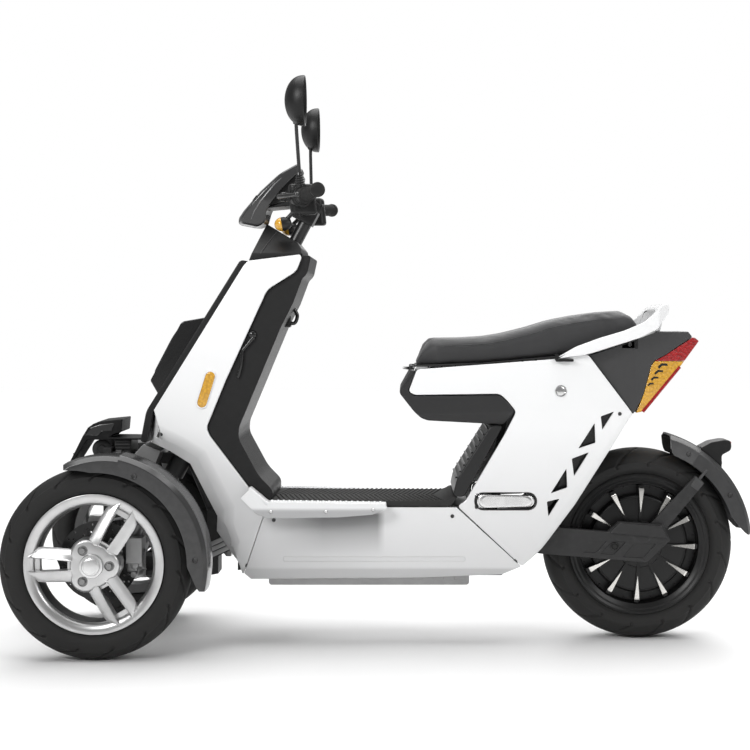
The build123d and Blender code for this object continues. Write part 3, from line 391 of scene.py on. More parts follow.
def crease(shape, start, way, lean, soft=0.012):
    """Leans what lies beyond a side-view line in towards the middle, through a soft crease."""
    start, way = Vector((start[0], 0, start[1])), Vector((way[0], 0, way[1])).normalized()
    for i in range(4):
        cut(shape, start + way * soft * i / 3, way)
    for vert in shape.verts:
        beyond = (vert.co - start).dot(way)
        if beyond > 0:
            shift = beyond * beyond / (2 * soft) if beyond < soft else beyond - soft / 2
            vert.co.y -= lean * shift * (1 if vert.co.y > 0 else -1)


def skin(shape, rings, caps=True, closed=True):
    """Covers a row of rings of points with faces, and closes the two ends."""
    rows = [[shape.verts.new(point) for point in ring] for ring in rings]
    count = len(rows[0])
    for one, two in zip(rows, rows[1:]):
        for i in range(count if closed else count - 1):
            j = (i + 1) % count
            shape.faces.new((one[i], one[j], two[j], two[i]))
    if caps:
        shape.faces.new(rows[0][::-1])
        shape.faces.new(rows[-1])
    return rows


def rounded(outline, radius, steps=5):
    """An outline with its corners rounded, each as far as its edges leave room for."""
    points = [Vector(point) for point in outline]
    found = []
    for before, corner, after in zip([points[-1], *points], points, [*points[1:], points[0]]):
        back, on = before - corner, after - corner
        reach = min(radius, 0.45 * back.length, 0.45 * on.length)
        first, last = corner + back.normalized() * reach, corner + on.normalized() * reach
        for i in range(steps + 1):
            t = i / steps
            found.append(first * (1 - t) ** 2 + corner * 2 * t * (1 - t) + last * t * t)
    return found


def face_outlines(node, side):
    """The (x, z) outlines of a CAD node's face on one side: its edge first, then its holes."""
    shape = welded(node)
    outer = {f for f in shape.faces if f.normal.y * side > 0.9}
    reach = max(f.calc_center_median().y * side for f in outer)
    outer = {f for f in outer if f.calc_center_median().y * side > reach - 0.06}
    links = {}
    for edge in shape.edges:
        if sum(f in outer for f in edge.link_faces) == 1:
            one, two = edge.verts
            links.setdefault(one, []).append(two)
            links.setdefault(two, []).append(one)
    loops = []
    while links:
        start = min(links, key=lambda v: (v.co.x, v.co.z))
        loop, last, here = [], None, start
        while here in links:
            loop.append(Vector((here.co.x, here.co.z)))
            nexts = [v for v in links.pop(here) if v is not last]
            last, here = here, nexts[0]
        bends = zip([loop[-1], *loop], loop, [*loop[1:], loop[0]])
        loops.append([b for a, b, c in bends if (b - a).length > 1e-5 and (b - a).angle(c - b, 1) > 0.02])
    shape.free()
    wide = [loop for loop in loops if max(p.x for p in loop) - min(p.x for p in loop) > 0.01]
    return sorted(wide, key=lambda loop: min(p.x for p in loop))


def carved(shape, cutters):
    """Cuts one shape out of another and returns what is left."""
    things = []
    for source in (shape, cutters):
        bmesh.ops.recalc_face_normals(source, faces=source.faces)
        mesh = bpy.data.meshes.new("for_cutting")
        source.to_mesh(mesh)
        source.free()
        things.append(bpy.data.objects.new("for_cutting", mesh))
        bpy.context.scene.collection.objects.link(things[-1])
    trim = things[0].modifiers.new("trim", "BOOLEAN")
    trim.object, trim.solver, trim.operation = things[1], "EXACT", "DIFFERENCE"
    bpy.context.view_layer.update()
    left = bmesh.new()
    left.from_object(things[0], bpy.context.evaluated_depsgraph_get())
    for thing in things:
        bpy.data.meshes.remove(thing.data)
    return left


def plate(shape, outline, low, high):
    """A flat plate cut to a side-view outline of (x, z) points, between two distances to the side."""
    skin(shape, [[(x, low, z) for x, z in outline], [(x, high, z) for x, z in outline]])


def side_plate(shape, outline, side, near, far):
    """A plate on one side of the machine, between two distances from its middle plane."""
    plate(shape, outline, *sorted((side * near, side * far)))


sides = (("left", -1), ("right", 1))
panel_face, panel_back = 0.15, 0.141  # distances from the middle plane
tail_bend, tail_slope = 0.42, 0.038 / 0.23  # where the panel turns in towards the tail, and how fast
bevel_height, tail_crease_height = 0.203, 0.6


def rear_panel(node, side):
    """A rear panel: a plate with its vents and peg slot cut out, bent in towards the tail."""
    edge, *holes = face_outlines(node, side)
    face, back = panel_face * side, panel_back * side
    shape = bmesh.new()
    plate(shape, rounded(edge, 0.01), face, back)
    round_off(shape, sharp_edges(shape, 60, lambda e: e.verts[0].co.y * side > panel_face - 0.001), 0.0025, 3)
    cutters = bmesh.new()
    for hole in holes:
        plate(cutters, rounded(hole, 0.003, 3), face + 0.01 * side, back - 0.01 * side)
    shape = carved(shape, cutters)
    near_hole = [e for e in sharp_edges(shape, 70) if all(abs(v.co.y - face) < 1e-5 for v in e.verts)]
    round_off(shape, near_hole, 0.0012, 2)
    cut(shape, Vector((tail_bend, 0, 0)), Vector((1, 0, 0)))
    for vert in shape.verts:
        vert.co.y -= side * max(0.0, vert.co.x - tail_bend) * tail_slope
    crease(shape, (0, tail_crease_height), (0, 1), 0.05, 0.03)
    crease(shape, (0.566, 0.52), (0.82, -0.574), 0.35)
    return shape


def along_fold(edge):
    """Whether an edge is the fold of a panel's flat side in towards the wheel arch."""
    return edge.calc_face_angle() < radians(60) and all(
        abs(abs(v.co.y) - panel_face) < 1e-4 for v in edge.verts
    )


panel_paint = white_paint("white_panel_paint")
panel_skins = {}


def painted_panel(name, node, shape):
    panel_skins[node] = piece(name, shape, panel_paint, "chassis", [node], 40)


for name, side in sides:
    node = f"front_side_panel_{name}"
    shape = copied(node)
    round_corners(shape, 0.012)
    round_off(shape, sharp_edges(shape, 20, along_fold), 0.02, 8)
    round_off(shape, sharp_edges(shape, 60), 0.003, 3)
    crease(shape, (0, bevel_height), (0, -1), 0.25)
    crease(shape, (-0.431, 0.301), (-0.79, -0.613), 0.45)
    painted_panel(f"{node}_skin", node, shape)
    node = f"rear_side_panel_{name}"
    painted_panel(f"{node}_skin", node, rear_panel(node, side))

# A long shallow recess runs along the foot of each floor skirt.
shape = softened("floor_skirts", 0.002, 0.0, 3)
recess = bmesh.new()
for side in (-1, 1):
    outline = rounded([(-0.261, 0.2195), (0.2045, 0.2195), (0.2045, 0.232), (-0.261, 0.232)], 0.0055, 4)
    side_plate(recess, outline, side, 0.1478, 0.156)
shape = carved(shape, recess)


def round_recess(edge):
    return all(0.2 < v.co.z < 0.24 and abs(v.co.y) > panel_face - 0.0002 for v in edge.verts)


round_off(shape, sharp_edges(shape, 70, round_recess), 0.0012, 2)
crease(shape, (0, bevel_height), (0, -1), 0.25)
painted_panel("floor_skirt_skin", "floor_skirts", shape)

# ---- Screws and side fittings -------------------------------------------------------------------
# Black button-head screws hold the panels. Each leg shield carries an amber side reflector in a
# raised rim, and the rear panels a round cap over the seat lock.


def square_to(way):
    """Two directions square to a direction and to each other."""
    way = Vector(way).normalized()
    first = way.orthogonal().normalized()
    return first, way.cross(first)


def turned(shape, place, way, profile, steps=32, loop=False):
    """Turns (radius, along) points round an axis. A loop closes on itself, as a ring does."""
    place, way = Vector(place), Vector(way).normalized()
    first, second = square_to(way)
    points = [*profile, profile[0]] if loop else profile
    turns = [tau * i / steps for i in range(steps)]
    rings = []
    for radius, along in points:
        rings.append([place + way * along + (first * cos(a) + second * sin(a)) * radius for a in turns])
    skin(shape, rings, caps=not loop)
    bmesh.ops.remove_doubles(shape, verts=shape.verts, dist=1e-6)


def on_side(thing, x, z, side=-1):
    """The point of a piece's outer face at a place in its side view, and the way it faces."""
    bpy.context.view_layer.update()
    hit, place, way, _ = thing.ray_cast(Vector((x, side, z)), Vector((0, -side, 0)))
    return place, way


def screw(shape, place, way, radius=0.005):
    """A button head with a hexagon socket."""
    r = radius
    profile = [(0, 0.1 * r), (0.5 * r, 0.1 * r), (0.5 * r, 0.45 * r), (0.66 * r, 0.5 * r)]
    turned(shape, place, way, profile + [(0.9 * r, 0.3 * r), (r, 0.05 * r), (r, -0.3 * r)], 18)


def steel(name, tone, rough, color=(1.0, 1.0, 1.0)):
    """Bare or plated metal with fine scratches and soft smears."""
    metal = Finish(name, metallic=1.0)
    smear = metal.clouds(35, detail=6)
    bright, dull = ([tone * c for c in color], [tone * c * 0.8 for c in color])
    metal.set(
        base_color=metal.mix(smear, bright, dull),
        roughness=rough + smear * 0.14,
    )
    metal.bump(metal.clouds(1400, detail=2), 0.00003)
    return metal.material


screw_steel = steel("black_screw_steel", 0.09, 0.35)
screws = bmesh.new()
for name, side in sides:
    places = [(f"front_side_panel_{name}", -0.355, 0.21), ("floor_skirts", -0.285, 0.326)]
    places += [("floor_skirts", 0.172, 0.336), (f"rear_side_panel_{name}", 0.334, 0.222)]
    places += [(f"front_side_panel_{name}", -0.575, 0.545), (f"rear_side_panel_{name}", 0.605, 0.596)]
    for node, x, z in places:
        screw(screws, *on_side(panel_skins[node], x, z, side))
piece("panel_screws", screws, screw_steel, "chassis")


def block(shape, low, high, edge=0.0, segments=2):
    """A rounded box between two corners."""
    corners = [(x, y, z) for x in (low[0], high[0]) for y in (low[1], high[1]) for z in (low[2], high[2])]
    verts = [shape.verts.new(corner) for corner in corners]
    sides = ((0, 1, 3, 2), (4, 6, 7, 5), (0, 4, 5, 1), (2, 3, 7, 6), (0, 2, 6, 4), (1, 5, 7, 3))
    faces = [shape.faces.new([verts[i] for i in side]) for side in sides]
    if edge:
        round_off(shape, list({e for f in faces for e in f.edges}), edge, segments)


def oval(length, height, tilt=0.0, taper=1.0, steps=10):
    """A slot's outline round the origin. Its far end may be smaller than its near end."""
    ring = []
    for end, radius in ((1, height / 2 * taper), (-1, height / 2)):
        for i in range(steps + 1):
            angle = (-pi / 2 if end > 0 else pi / 2) + pi * i / steps
            ring.append(Vector((end * (length / 2 - radius) + radius * cos(angle), radius * sin(angle))))
    return [Vector((p.x * cos(tilt) - p.y * sin(tilt), p.x * sin(tilt) + p.y * cos(tilt))) for p in ring]


def layers(shape, place, outline, steps, side=-1, way=None):
    """Builds a low relief on a side face from an outline: each step is how far it is scaled in, and
    how far it stands out."""
    place = Vector(place)
    first, second, out = Vector((1, 0, 0)), Vector((0, 0, 1)), Vector((0, side, 0))
    if way is not None:
        out = Vector(way).normalized()
        first = (first - out * first.dot(out)).normalized()
        second = (second - out * second.dot(out)).normalized()
    rings = []
    for inset, height in steps:
        ring = []
        for point in outline:
            near = point * max(0.0, 1 - inset / max(point.length, 1e-6))
            ring.append(place + first * near.x + second * near.y + out * height)
        rings.append(ring)
    skin(shape, rings)


def lens_plastic(name, color, deep):
    """Clear moulded lens over a mosaic reflector."""
    lens = Finish(name, coat_weight=0.8, coat_roughness=0.03, specular_ior_level=0.6)
    mosaic = lens.cells(160)
    lens.set(
        base_color=lens.mix(lens.ramp(mosaic, (0.1, 0.0), (0.9, 0.7)), color, deep),
        roughness=0.12 + lens.clouds(20) * 0.1,
    )
    lens.bump(mosaic, 0.0015, 0.6)
    return lens.material


amber_lens = lens_plastic("amber_lens", (0.74, 0.4, 0.035), (0.4, 0.19, 0.01))
marker_tilt = atan2(0.09, 0.028)
rims, lenses = bmesh.new(), bmesh.new()
for name, side in sides:
    panel = panel_skins[f"front_side_panel_{name}"]
    place, way = on_side(panel, -0.458, 0.66, side)
    edge = oval(0.104, 0.028, marker_tilt)
    layers(
        rims, place, edge, [(0, -0.002), (0, 0.002), (0.0015, 0.0034), (0.004, 0.0034), (0.005, 0.001)], side,
        way
    )
    dome = [(0.0045, -0.001), (0.0045, 0.0015), (0.006, 0.003), (0.009, 0.0036), (0.0125, 0.0038)]
    layers(lenses, place, edge, dome, side, way)
piece("side_reflector_rims", rims, panel_paint, "chassis")
piece("side_reflectors", lenses, amber_lens, "chassis")

bright_steel = steel("bright_steel", 0.8, 0.12)
caps = bmesh.new()
for name, side in sides:
    panel = panel_skins[f"rear_side_panel_{name}"]
    ring = [
        (0, 0.0022), (0.009, 0.0022), (0.0105, 0.0012), (0.0115, 0.0012), (0.0125, 0.003), (0.0145, 0.003)
    ]
    turned(caps, *on_side(panel, 0.45, 0.656, side), ring + [(0.0155, 0.0015), (0.0155, -0.002)], 40)
piece("seat_lock_caps", caps, bright_steel, "chassis")

# ---- Vent screens -------------------------------------------------------------------------------
# Behind the triangular vents in each rear panel lies a black moulded screen with slanting ribs,
# which keeps the wheel's spray out.


def moulded(name, tone, rough=0.45, grain=900, depth=0.00012, shine=0.4):
    """Black plastic with a fine moulded grain, paler on rubbed edges and a little dusty low down."""
    plastic = Finish(name, specular_ior_level=shine)
    worn, dust = worn_edges(plastic), low_dust(plastic)
    cloud = plastic.clouds(14, detail=5)
    clean = plastic.mix(
        cloud, (tone * 0.95, tone * 0.95, tone * 0.97), (tone * 1.05, tone * 1.05, tone * 1.07)
    )
    rubbed = plastic.mix(worn * 0.15, clean, (tone * 1.6 + 0.02,) * 3)
    plastic.set(
        base_color=plastic.mix(dust * 0.02, rubbed, (0.12, 0.11, 0.1)),
        roughness=rough + cloud * 0.02 + dust * 0.04 - worn * 0.03,
    )
    plastic.bump(plastic.cells(grain), depth)
    return plastic.material


screen_plastic = moulded("vent_screen_plastic", 0.009, 0.22, shine=0.5)
screens = bmesh.new()
for side in (-1, 1):
    outline = [(0.395, 0.32), (0.48, 0.42), (0.535, 0.5), (0.6, 0.6), (0.55, 0.61), (0.49, 0.52), (0.4, 0.4)]
    side_plate(screens, outline, side, 0.112, 0.108)
    for i in range(4):
        x, z = 0.43 + 0.03 * i, 0.386 + 0.052 * i
        rib = [(x, z), (x + 0.003, z), (x + 0.023, z + 0.034), (x + 0.02, z + 0.034)]
        side_plate(screens, rib, side, 0.112, 0.116)
round_off(screens, sharp_edges(screens, 60), 0.0012, 2)
piece("vent_screens", screens, screen_plastic, "chassis")

# ---- Passenger pegs -----------------------------------------------------------------------------
# Each peg is a flat alloy paddle that folds out of a slot in the panel on an upright pin at its
# front end. A black liner edges the slot.

peg_alloy = steel("peg_alloy", 0.86, 0.16)
peg_pin_x = 0.24
liner = bmesh.new()
for name, side in sides:
    low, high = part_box(f"passenger_peg_{name}")
    middle = Vector(((low.x + high.x) / 2, 0, (low.z + high.z) / 2))
    face = low.y if side < 0 else high.y
    paddle = bmesh.new()
    edge = oval(0.149, 0.0355, 0, 0.8)
    back = Vector((middle.x, face - side * 0.0115, middle.z))
    steps = [(0.004, 0), (0.001, 0.001), (0, 0.0045), (0, 0.0085), (0.0012, 0.0106), (0.004, 0.0115)]
    layers(
        paddle, back, edge, steps + [(0.0065, 0.0108), (0.0085, 0.0108), (0.0105, 0.0117), (0.0172, 0.0121)],
        side
    )
    pin = [(0, 0), (0.003, 0), (0.003, 0.062), (0, 0.062)]
    turned(paddle, (peg_pin_x, side * 0.145, middle.z - 0.031), (0, 0, 1), pin)
    piece(f"peg_paddle_{name}", paddle, peg_alloy, f"peg_{name}", [f"passenger_peg_{name}"])
    edge = oval(0.158, 0.0445)
    rim = [
        (0, -0.009), (-0.0015, -0.0005), (-0.0015, 0.0011), (0.001, 0.0016), (0.0028, 0.0006), (0.003, -0.009)
    ]
    layers(liner, (middle.x, side * panel_face, middle.z), edge, rim, side)
# The liner is open at both ends, so that the paddle lies inside it.
for face in [f for f in liner.faces if len(f.verts) > 4]:
    liner.faces.remove(face)
piece("peg_slot_liners", liner, moulded("liner_plastic", 0.012), "chassis")

# ---- Floor mat and step riser -------------------------------------------------------------------
# A thick rubber mat with raised chevrons covers the floor, and its rear end meets the black riser
# that climbs to the seat.


def rubber(name, tone, rough=0.75, grain=1500, depth=0.0001):
    """Vulcanised rubber: matt, faintly mottled, and grey with dust where it is low."""
    soft = Finish(name, specular_ior_level=0.3)
    bloom, dust = soft.clouds(22, detail=6), low_dust(soft, 0.5)
    fresh = soft.mix(bloom, (tone * 0.92,) * 3, (tone * 1.08, tone * 1.07, tone * 1.06))
    soft.set(
        base_color=soft.mix(dust * 0.1 + worn_edges(soft) * 0.12, fresh, (0.12, 0.115, 0.105)),
        roughness=rough + bloom * 0.12,
    )
    soft.bump(soft.clouds(grain, detail=4), depth)
    return soft.material


mat_rubber = rubber("mat_rubber", 0.028)
shape = softened("floor_mat", 0.0025, 0.004, 3)
mat_start, mat_end, mat_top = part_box("floor_mat")[0].x + 0.022, 0.162, 0.374
chevron_pitch = 0.0125
for i in range(35):
    for side in (-1, 1):
        x = mat_start + chevron_pitch * i
        arm = [(x, 0.0), (x + 0.0055, 0.0), (x + 0.0335, 0.134), (x + 0.028, 0.134)]
        if arm[2][0] > mat_end:
            continue
        rib = [[(px, side * py, mat_top - 0.001) for px, py in arm]]
        inner = [(x + 0.001, 0.0), (x + 0.0045, 0.0), (x + 0.0325, 0.133), (x + 0.029, 0.133)]
        rib.append([(px, side * py, mat_top + 0.0022) for px, py in inner])
        skin(shape, rib)
piece("floor_mat_rubber", shape, mat_rubber, "chassis", ["floor_mat"], 30)

riser_plastic = moulded("riser_plastic", 0.014, 0.34, 900, 0.00002, 0.4)
shape = softened("step_riser", 0.004, 0.012, 3)
riser_foot, riser_head = Vector((0.1845, 0, 0.431)), Vector((0.266, 0, 0.5585))
for i in range(9):
    place = riser_foot.lerp(riser_head, i / 8)
    block(
        shape, (place.x - 0.004, -0.112, place.z - 0.002), (place.x + 0.006, 0.112, place.z + 0.002), 0.0012,
        2
    )
piece("step_riser_moulding", shape, riser_plastic, "chassis", ["step_riser"])

# ---- Foot plates --------------------------------------------------------------------------------
# Outside the panels, a cast alloy foot plate is screwed to each side, with a raised front lip and
# rows of round studs against slipping. It is painted silver-white.

plate_paint = Finish("foot_plate_paint", metallic=0.35, specular_ior_level=0.5)
fleck = plate_paint.cells(2600)
# Painted shade: the plates' upright edge strip, 0.3545 m to 0.3615 m high, is greyed below the lit top.
edge_shade = plate_paint.ramp(plate_paint.part(plate_paint.place(), 2), (0.3545, 1.0), (0.3615, 0.0))
plate_paint.set(
    base_color=plate_paint.mix(edge_shade * 0.7, (0.86, 0.865, 0.87), (0.27, 0.27, 0.275)),
    roughness=0.3 + fleck * 0.1 + worn_edges(plate_paint) * 0.1,
)
plate_paint.bump(plate_paint.clouds(700), 0.00008)
shape = softened("foot_plates", 0.0014, 0.0)
for side in (-1, 1):
    for row in range(3):
        for i in range(20 - row % 2):
            x = -0.288 + 0.0145 * (i + row % 2 / 2)
            top = mat_top + 0.003 - 0.004 * (x + 0.298) / 0.3
            stud = [(0, 0.0024), (0.0022, 0.0022), (0.0032, 0.0012), (0.0036, -0.001)]
            turned(shape, (x, side * (0.159 + 0.0105 * row), top), (0, 0, 1), stud, 10)
piece("foot_plate_castings", shape, plate_paint.material, "chassis", ["foot_plates"], 40)
screws = bmesh.new()
for side in (-1, 1):
    for x, z in ((-0.289, 0.352), (-0.15, 0.352), (-0.03, 0.357)):
        screw(screws, (x, side * 0.192, z), (0, side, 0), 0.0055)
piece("foot_plate_screws", screws, bright_steel, "chassis")

# ---- Battery and frame spine --------------------------------------------------------------------
# The battery is a folded alloy case between the floor rails, with ribs pressed into its sides. In front
# of it the frame's steel spine carries a ribbed alloy casting on each side, up to a cross casting.

battery_low, battery_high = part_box("battery_box")
shape = softened("battery_box", 0.002)
for i in range(9):
    x = battery_low.x + 0.04 + 0.055 * i
    for y in (battery_low.y, battery_high.y):
        block(
            shape, (x, y - 0.003, battery_low.z + 0.014), (x + 0.028, y + 0.003, battery_low.z + 0.075),
            0.0015
        )
for y in (-0.06, 0.0, 0.06):
    block(
        shape,
        (battery_low.x + 0.03, y - 0.012, battery_low.z - 0.0015),
        (battery_high.x - 0.03, y + 0.012, battery_low.z + 0.003),
        0.001,
    )
piece(
    "battery_case", shape, steel("battery_case_alloy", 0.42, 0.42), "chassis", ["battery_box"]
)

shape = softened("main_frame", 0.0008, angle=50)
notch = bmesh.new()
plate(notch, [(-0.441, 0.15), (-0.441, 0.216), (-0.39, 0.2425), (-0.39, 0.15)], -0.06, 0.06)
piece("main_frame_steel", carved(shape, notch), frame_coat, "chassis", ["main_frame"])
spine_alloy = steel("spine_alloy", 0.4, 0.4)
shape = bmesh.new()
beam_start, beam_end = Vector((-0.4705, 0.206)), Vector((-0.392, 0.2425))
beam_height, ribs = 0.0445, 3
for side in (-1, 1):
    for i in range(ribs):
        low, high = (Vector((0, beam_height * (i + share) / ribs)) for share in (0.06, 0.94))
        rib = [beam_start + low, beam_end + low, beam_end + high, beam_start + high]
        side_plate(shape, [tuple(p) for p in rib], side, 0.0375, 0.0415)
cross = rounded([(-0.63, 0.515), (-0.5856, 0.497), (-0.602, 0.457), (-0.662, 0.48)], 0.004)
plate(shape, cross, -0.085, 0.085)
round_off(shape, sharp_edges(shape, 60), 0.0012, 2)
piece("spine_castings", shape, spine_alloy, "chassis")

# ---- Leg shield covers --------------------------------------------------------------------------
# Black covers close the leg shield in front and behind. The front one carries a slim light strip,
# the inner one a bag hook and a thin lever at each side, and the neck cover a raised line down each.

cover_plastic = moulded("cover_plastic", 0.009, 0.42, shine=0.3)
gloss_cover = moulded("gloss_cover_plastic", 0.012, 0.12, 200, 0.00001, 0.5)
piece(
    "front_cover_moulding", softened("front_cover", 0.003, 0.01, 3), cover_plastic, "chassis",
    ["front_cover"]
)
shape = softened("inner_shield", 0.003, 0.014, 3)
inner_skin = piece(
    "inner_shield_moulding", shape, cover_plastic, "chassis", ["inner_shield"]
)
shape = softened("neck_cover", 0.003, 0.0, 3, 25)
neck_skin = piece("neck_cover_moulding", shape, cover_plastic, "chassis", ["neck_cover"])

strip_lens = Finish("light_strip_lens", coat_weight=0.6, coat_roughness=0.03, roughness=0.2)
ribs = strip_lens.ramp(strip_lens.cells(300), (0.4, 0.0), (0.6, 1.0))
strip_lens.set(base_color=strip_lens.mix(ribs, (0.75, 0.77, 0.8), (0.9, 0.91, 0.93)))
strip_lens.bump(ribs, 0.0003)
cover_top, cover_knee = Vector((-0.372, 0, 0.993)), Vector((-0.614, 0, 0.604))
lean = (cover_top - cover_knee).normalized()
front_way = Vector((-lean.z, 0, lean.x))
shape = bmesh.new()
rings = []
for t in (0, 0.02, 0.5, 0.98, 1):
    place = cover_top - lean * (0.01 + 0.15 * t)
    wide, high = (0.004, 0.0005) if t in (0, 1) else (0.007, 0.0035)
    ring = [(-wide, -0.002), (-wide, high * 0.6), (-wide * 0.6, high), (wide * 0.6, high), (wide, high * 0.6)]
    rings.append([place + Vector((0, s, 0)) + front_way * h for s, h in [*ring, (wide, -0.002)]])
skin(shape, rings)
piece("light_strip", shape, strip_lens.material, "chassis")


def tube(shape, points, radius, steps=12, round_ends=True):
    """A round bar along a line of points. The radius may be a list, one for each point."""
    points = [Vector(point) for point in points]
    radii = radius if isinstance(radius, (list, tuple)) else [radius] * len(points)
    ways = []
    for i, point in enumerate(points):
        before, after = points[max(i - 1, 0)], points[min(i + 1, len(points) - 1)]
        ways.append((after - before).normalized())
    first = ways[0].orthogonal().normalized()
    rings = []
    for point, way, size in zip(points, ways, radii):
        first = (first - way * first.dot(way)).normalized()
        second = way.cross(first)
        turns = [tau * i / steps for i in range(steps)]
        rings.append([point + (first * cos(a) + second * sin(a)) * size for a in turns])
    if round_ends:
        tip, size = points[0] - ways[0] * radii[0] * 0.4, 0.6
        rings.insert(0, [tip + (p - points[0]) * size for p in rings[0]])
        tip = points[-1] + ways[-1] * radii[-1] * 0.4
        rings.append([tip + (p - points[-1]) * size for p in rings[-1]])
    skin(shape, rings)


def smooth_line(points, count=8):
    """A smooth line through points."""
    points = [Vector(point) for point in points]
    line = []
    for i in range(len(points) - 1):
        a, b = points[max(i - 1, 0)], points[i]
        c, d = points[i + 1], points[min(i + 2, len(points) - 1)]
        for step in range(count):
            t = step / count
            line.append(
                0.5 * (
                    2 * b + (c - a) * t + (2 * a - 5 * b + 4 * c - d) * t * t + (3 * b - a - 3 * c + d) * t**3
                )
            )
    return [*line, points[-1]]


fittings = bmesh.new()
tube(
    fittings, smooth_line([(-0.262, 0, 0.832), (-0.243, 0, 0.83), (-0.236, 0, 0.85), (-0.246, 0, 0.87)]),
    0.005
)
block(fittings, (-0.27, -0.016, 0.818), (-0.252, 0.016, 0.856), 0.004, 3)
for side in (-1, 1):
    place, way = on_side(inner_skin, -0.34, 0.8, side)
    turned(
        fittings, place, (0, side, 0),
        [(0, 0.008), (0.006, 0.008), (0.009, 0.006), (0.011, 0.003), (0.012, 0)], 24
    )
    lever = [(-0.366, 0.005, 0.76), (-0.37, 0.006, 0.72), (-0.378, 0.004, 0.69)]
    lever = [(x, place.y + side * out, z) for x, out, z in lever]
    tube(fittings, [place + Vector((0.003, side * 0.004, -0.006)), lever[0]], [0.006, 0.0045])
    tube(fittings, smooth_line(lever), 0.0045)
piece("shield_fittings", fittings, gloss_cover, "chassis")

shape = bmesh.new()
for side in (-1, 1):
    ridge = [on_side(neck_skin, -0.3215 + 0.0365 * i / 8, 1.009 + 0.0595 * i / 8, side)[0] for i in range(9)]
    tube(shape, ridge, [0.0008, *[0.0017] * 7, 0.0008], 8)
piece("neck_cover_ridges", shape, moulded("ridge_plastic", 0.035, 0.3), "chassis")

# ---- Head lamp and nose -------------------------------------------------------------------------
# The lamp is a black gloss case with a clear lens over six round reflectors. Below it a separate
# moulded nose closes the front of the subframe over the suspension.

piece(
    "head_lamp_case", softened("head_lamp", 0.003, 0.008, 3), gloss_cover, "chassis",
    ["head_lamp"]
)
lamp_top, lamp_foot = Vector((-0.533, 0, 0.834)), Vector((-0.615, 0, 0.68))
lamp_lean = (lamp_top - lamp_foot).normalized()
lamp_out = Vector((-lamp_lean.z, 0, lamp_lean.x))
lamp_middle = (lamp_top + lamp_foot) / 2
lens_edge = rounded(
    [(-0.058, -0.066), (0.058, -0.066), (0.064, 0.04), (0.036, 0.07), (-0.036, 0.07), (-0.064, 0.04)], 0.014
)


def sloped_layers(middle, up, out, outline, *steps):
    """A low relief on a sloping face: each step is the outline's scale and how far it stands out."""
    shape = bmesh.new()
    rings = []
    for scale, height in steps:
        flat = [middle + Vector((0, p.x * scale, 0)) + up * (p.y * scale) for p in outline]
        rings.append([point + out * height for point in flat])
    skin(shape, rings)
    return shape


steps = ((1.0, -0.002), (1.0, 0.002), (0.97, 0.0035), (0.92, 0.003), (0.9, -0.001))
shape = sloped_layers(lamp_middle, lamp_lean, lamp_out, lens_edge, *steps)
piece("head_lamp_bezel", shape, gloss_cover, "chassis")
steps = ((0.91, -0.001), (0.9, 0.002), (0.8, 0.0028), (0.3, 0.0032))
shape = sloped_layers(lamp_middle, lamp_lean, lamp_out, lens_edge, *steps)
lamp_glass = Finish("lamp_glass", coat_weight=1.0, coat_roughness=0.02, specular_ior_level=0.6)
flutes = lamp_glass.cells(90)
lamp_glass.set(
    base_color=lamp_glass.mix(flutes, (0.5, 0.52, 0.55), (0.16, 0.17, 0.18)), roughness=0.08 + flutes * 0.1
)
lamp_glass.bump(flutes, 0.002, 0.5)
piece("head_lamp_lens", shape, lamp_glass.material, "chassis")
shape = bmesh.new()
radius = 0.02
for up in (0.036, -0.004, -0.044):
    for side in (-0.026, 0.026):
        ring = [
            (0, 0.0045), (radius * 0.4, 0.005), (radius * 0.75, 0.0035), (radius, 0.0045),
            (radius + 0.002, 0.001)
        ]
        turned(shape, lamp_middle + Vector((0, side, 0)) + lamp_lean * up, lamp_out, ring, 28)
piece("head_lamp_projectors", shape, bright_steel, "chassis")

nose_half, nose_shelf = 0.062, 0.5243
nose_outline = [
    (-0.84, 0.444), (-0.823, 0.475), (-0.794, 0.533), (-0.78, 0.556), (-0.766, 0.566), (-0.749, 0.573)
]
nose_outline += [
    (-0.689, 0.579), (-0.692, 0.545), (-0.711, 0.539), (-0.722, 0.531), (-0.6335, 0.5295),
    (-0.6335, nose_shelf)
]
nose_outline += [(-0.781, nose_shelf), (-0.817, 0.468)]
shape = bmesh.new()
plate(shape, nose_outline, -nose_half, nose_half)
round_off(shape, sharp_edges(shape, 50), 0.0024, 3)
piece(
    "nose_moulding", shape, moulded("nose_plastic", 0.005, 0.5, shine=0.25), "chassis",
    ["nose_fairing"]
)


def raised(shape, outline, side, reach, steps):
    """Builds a low relief from a side-view outline, on a face this far from the middle plane."""
    middle = sum(outline, Vector((0, 0))) / len(outline)
    layers(shape, (middle.x, side * reach, middle.y), [p - middle for p in outline], steps, side)


shape = bmesh.new()
nose_inlay = [(-0.79, 0.535), (-0.752, 0.535), (-0.742, 0.546), (-0.716, 0.549), (-0.708, 0.568)]
nose_inlay = rounded([*nose_inlay, (-0.748, 0.564), (-0.772, 0.556)], 0.004)
for side in (-1, 1):
    raised(shape, nose_inlay, side, nose_half, [(0, -0.002), (0, 0.0008), (0.0015, 0.0012), (0.003, 0.0005)])
for i in range(4):
    x, z = -0.835 + 0.0165 * i, 0.462 + 0.0235 * i
    block(shape, (x - 0.004, -0.044, z - 0.0025), (x + 0.008, 0.044, z + 0.0025), 0.0015)
piece("nose_grille", shape, gloss_cover, "chassis")

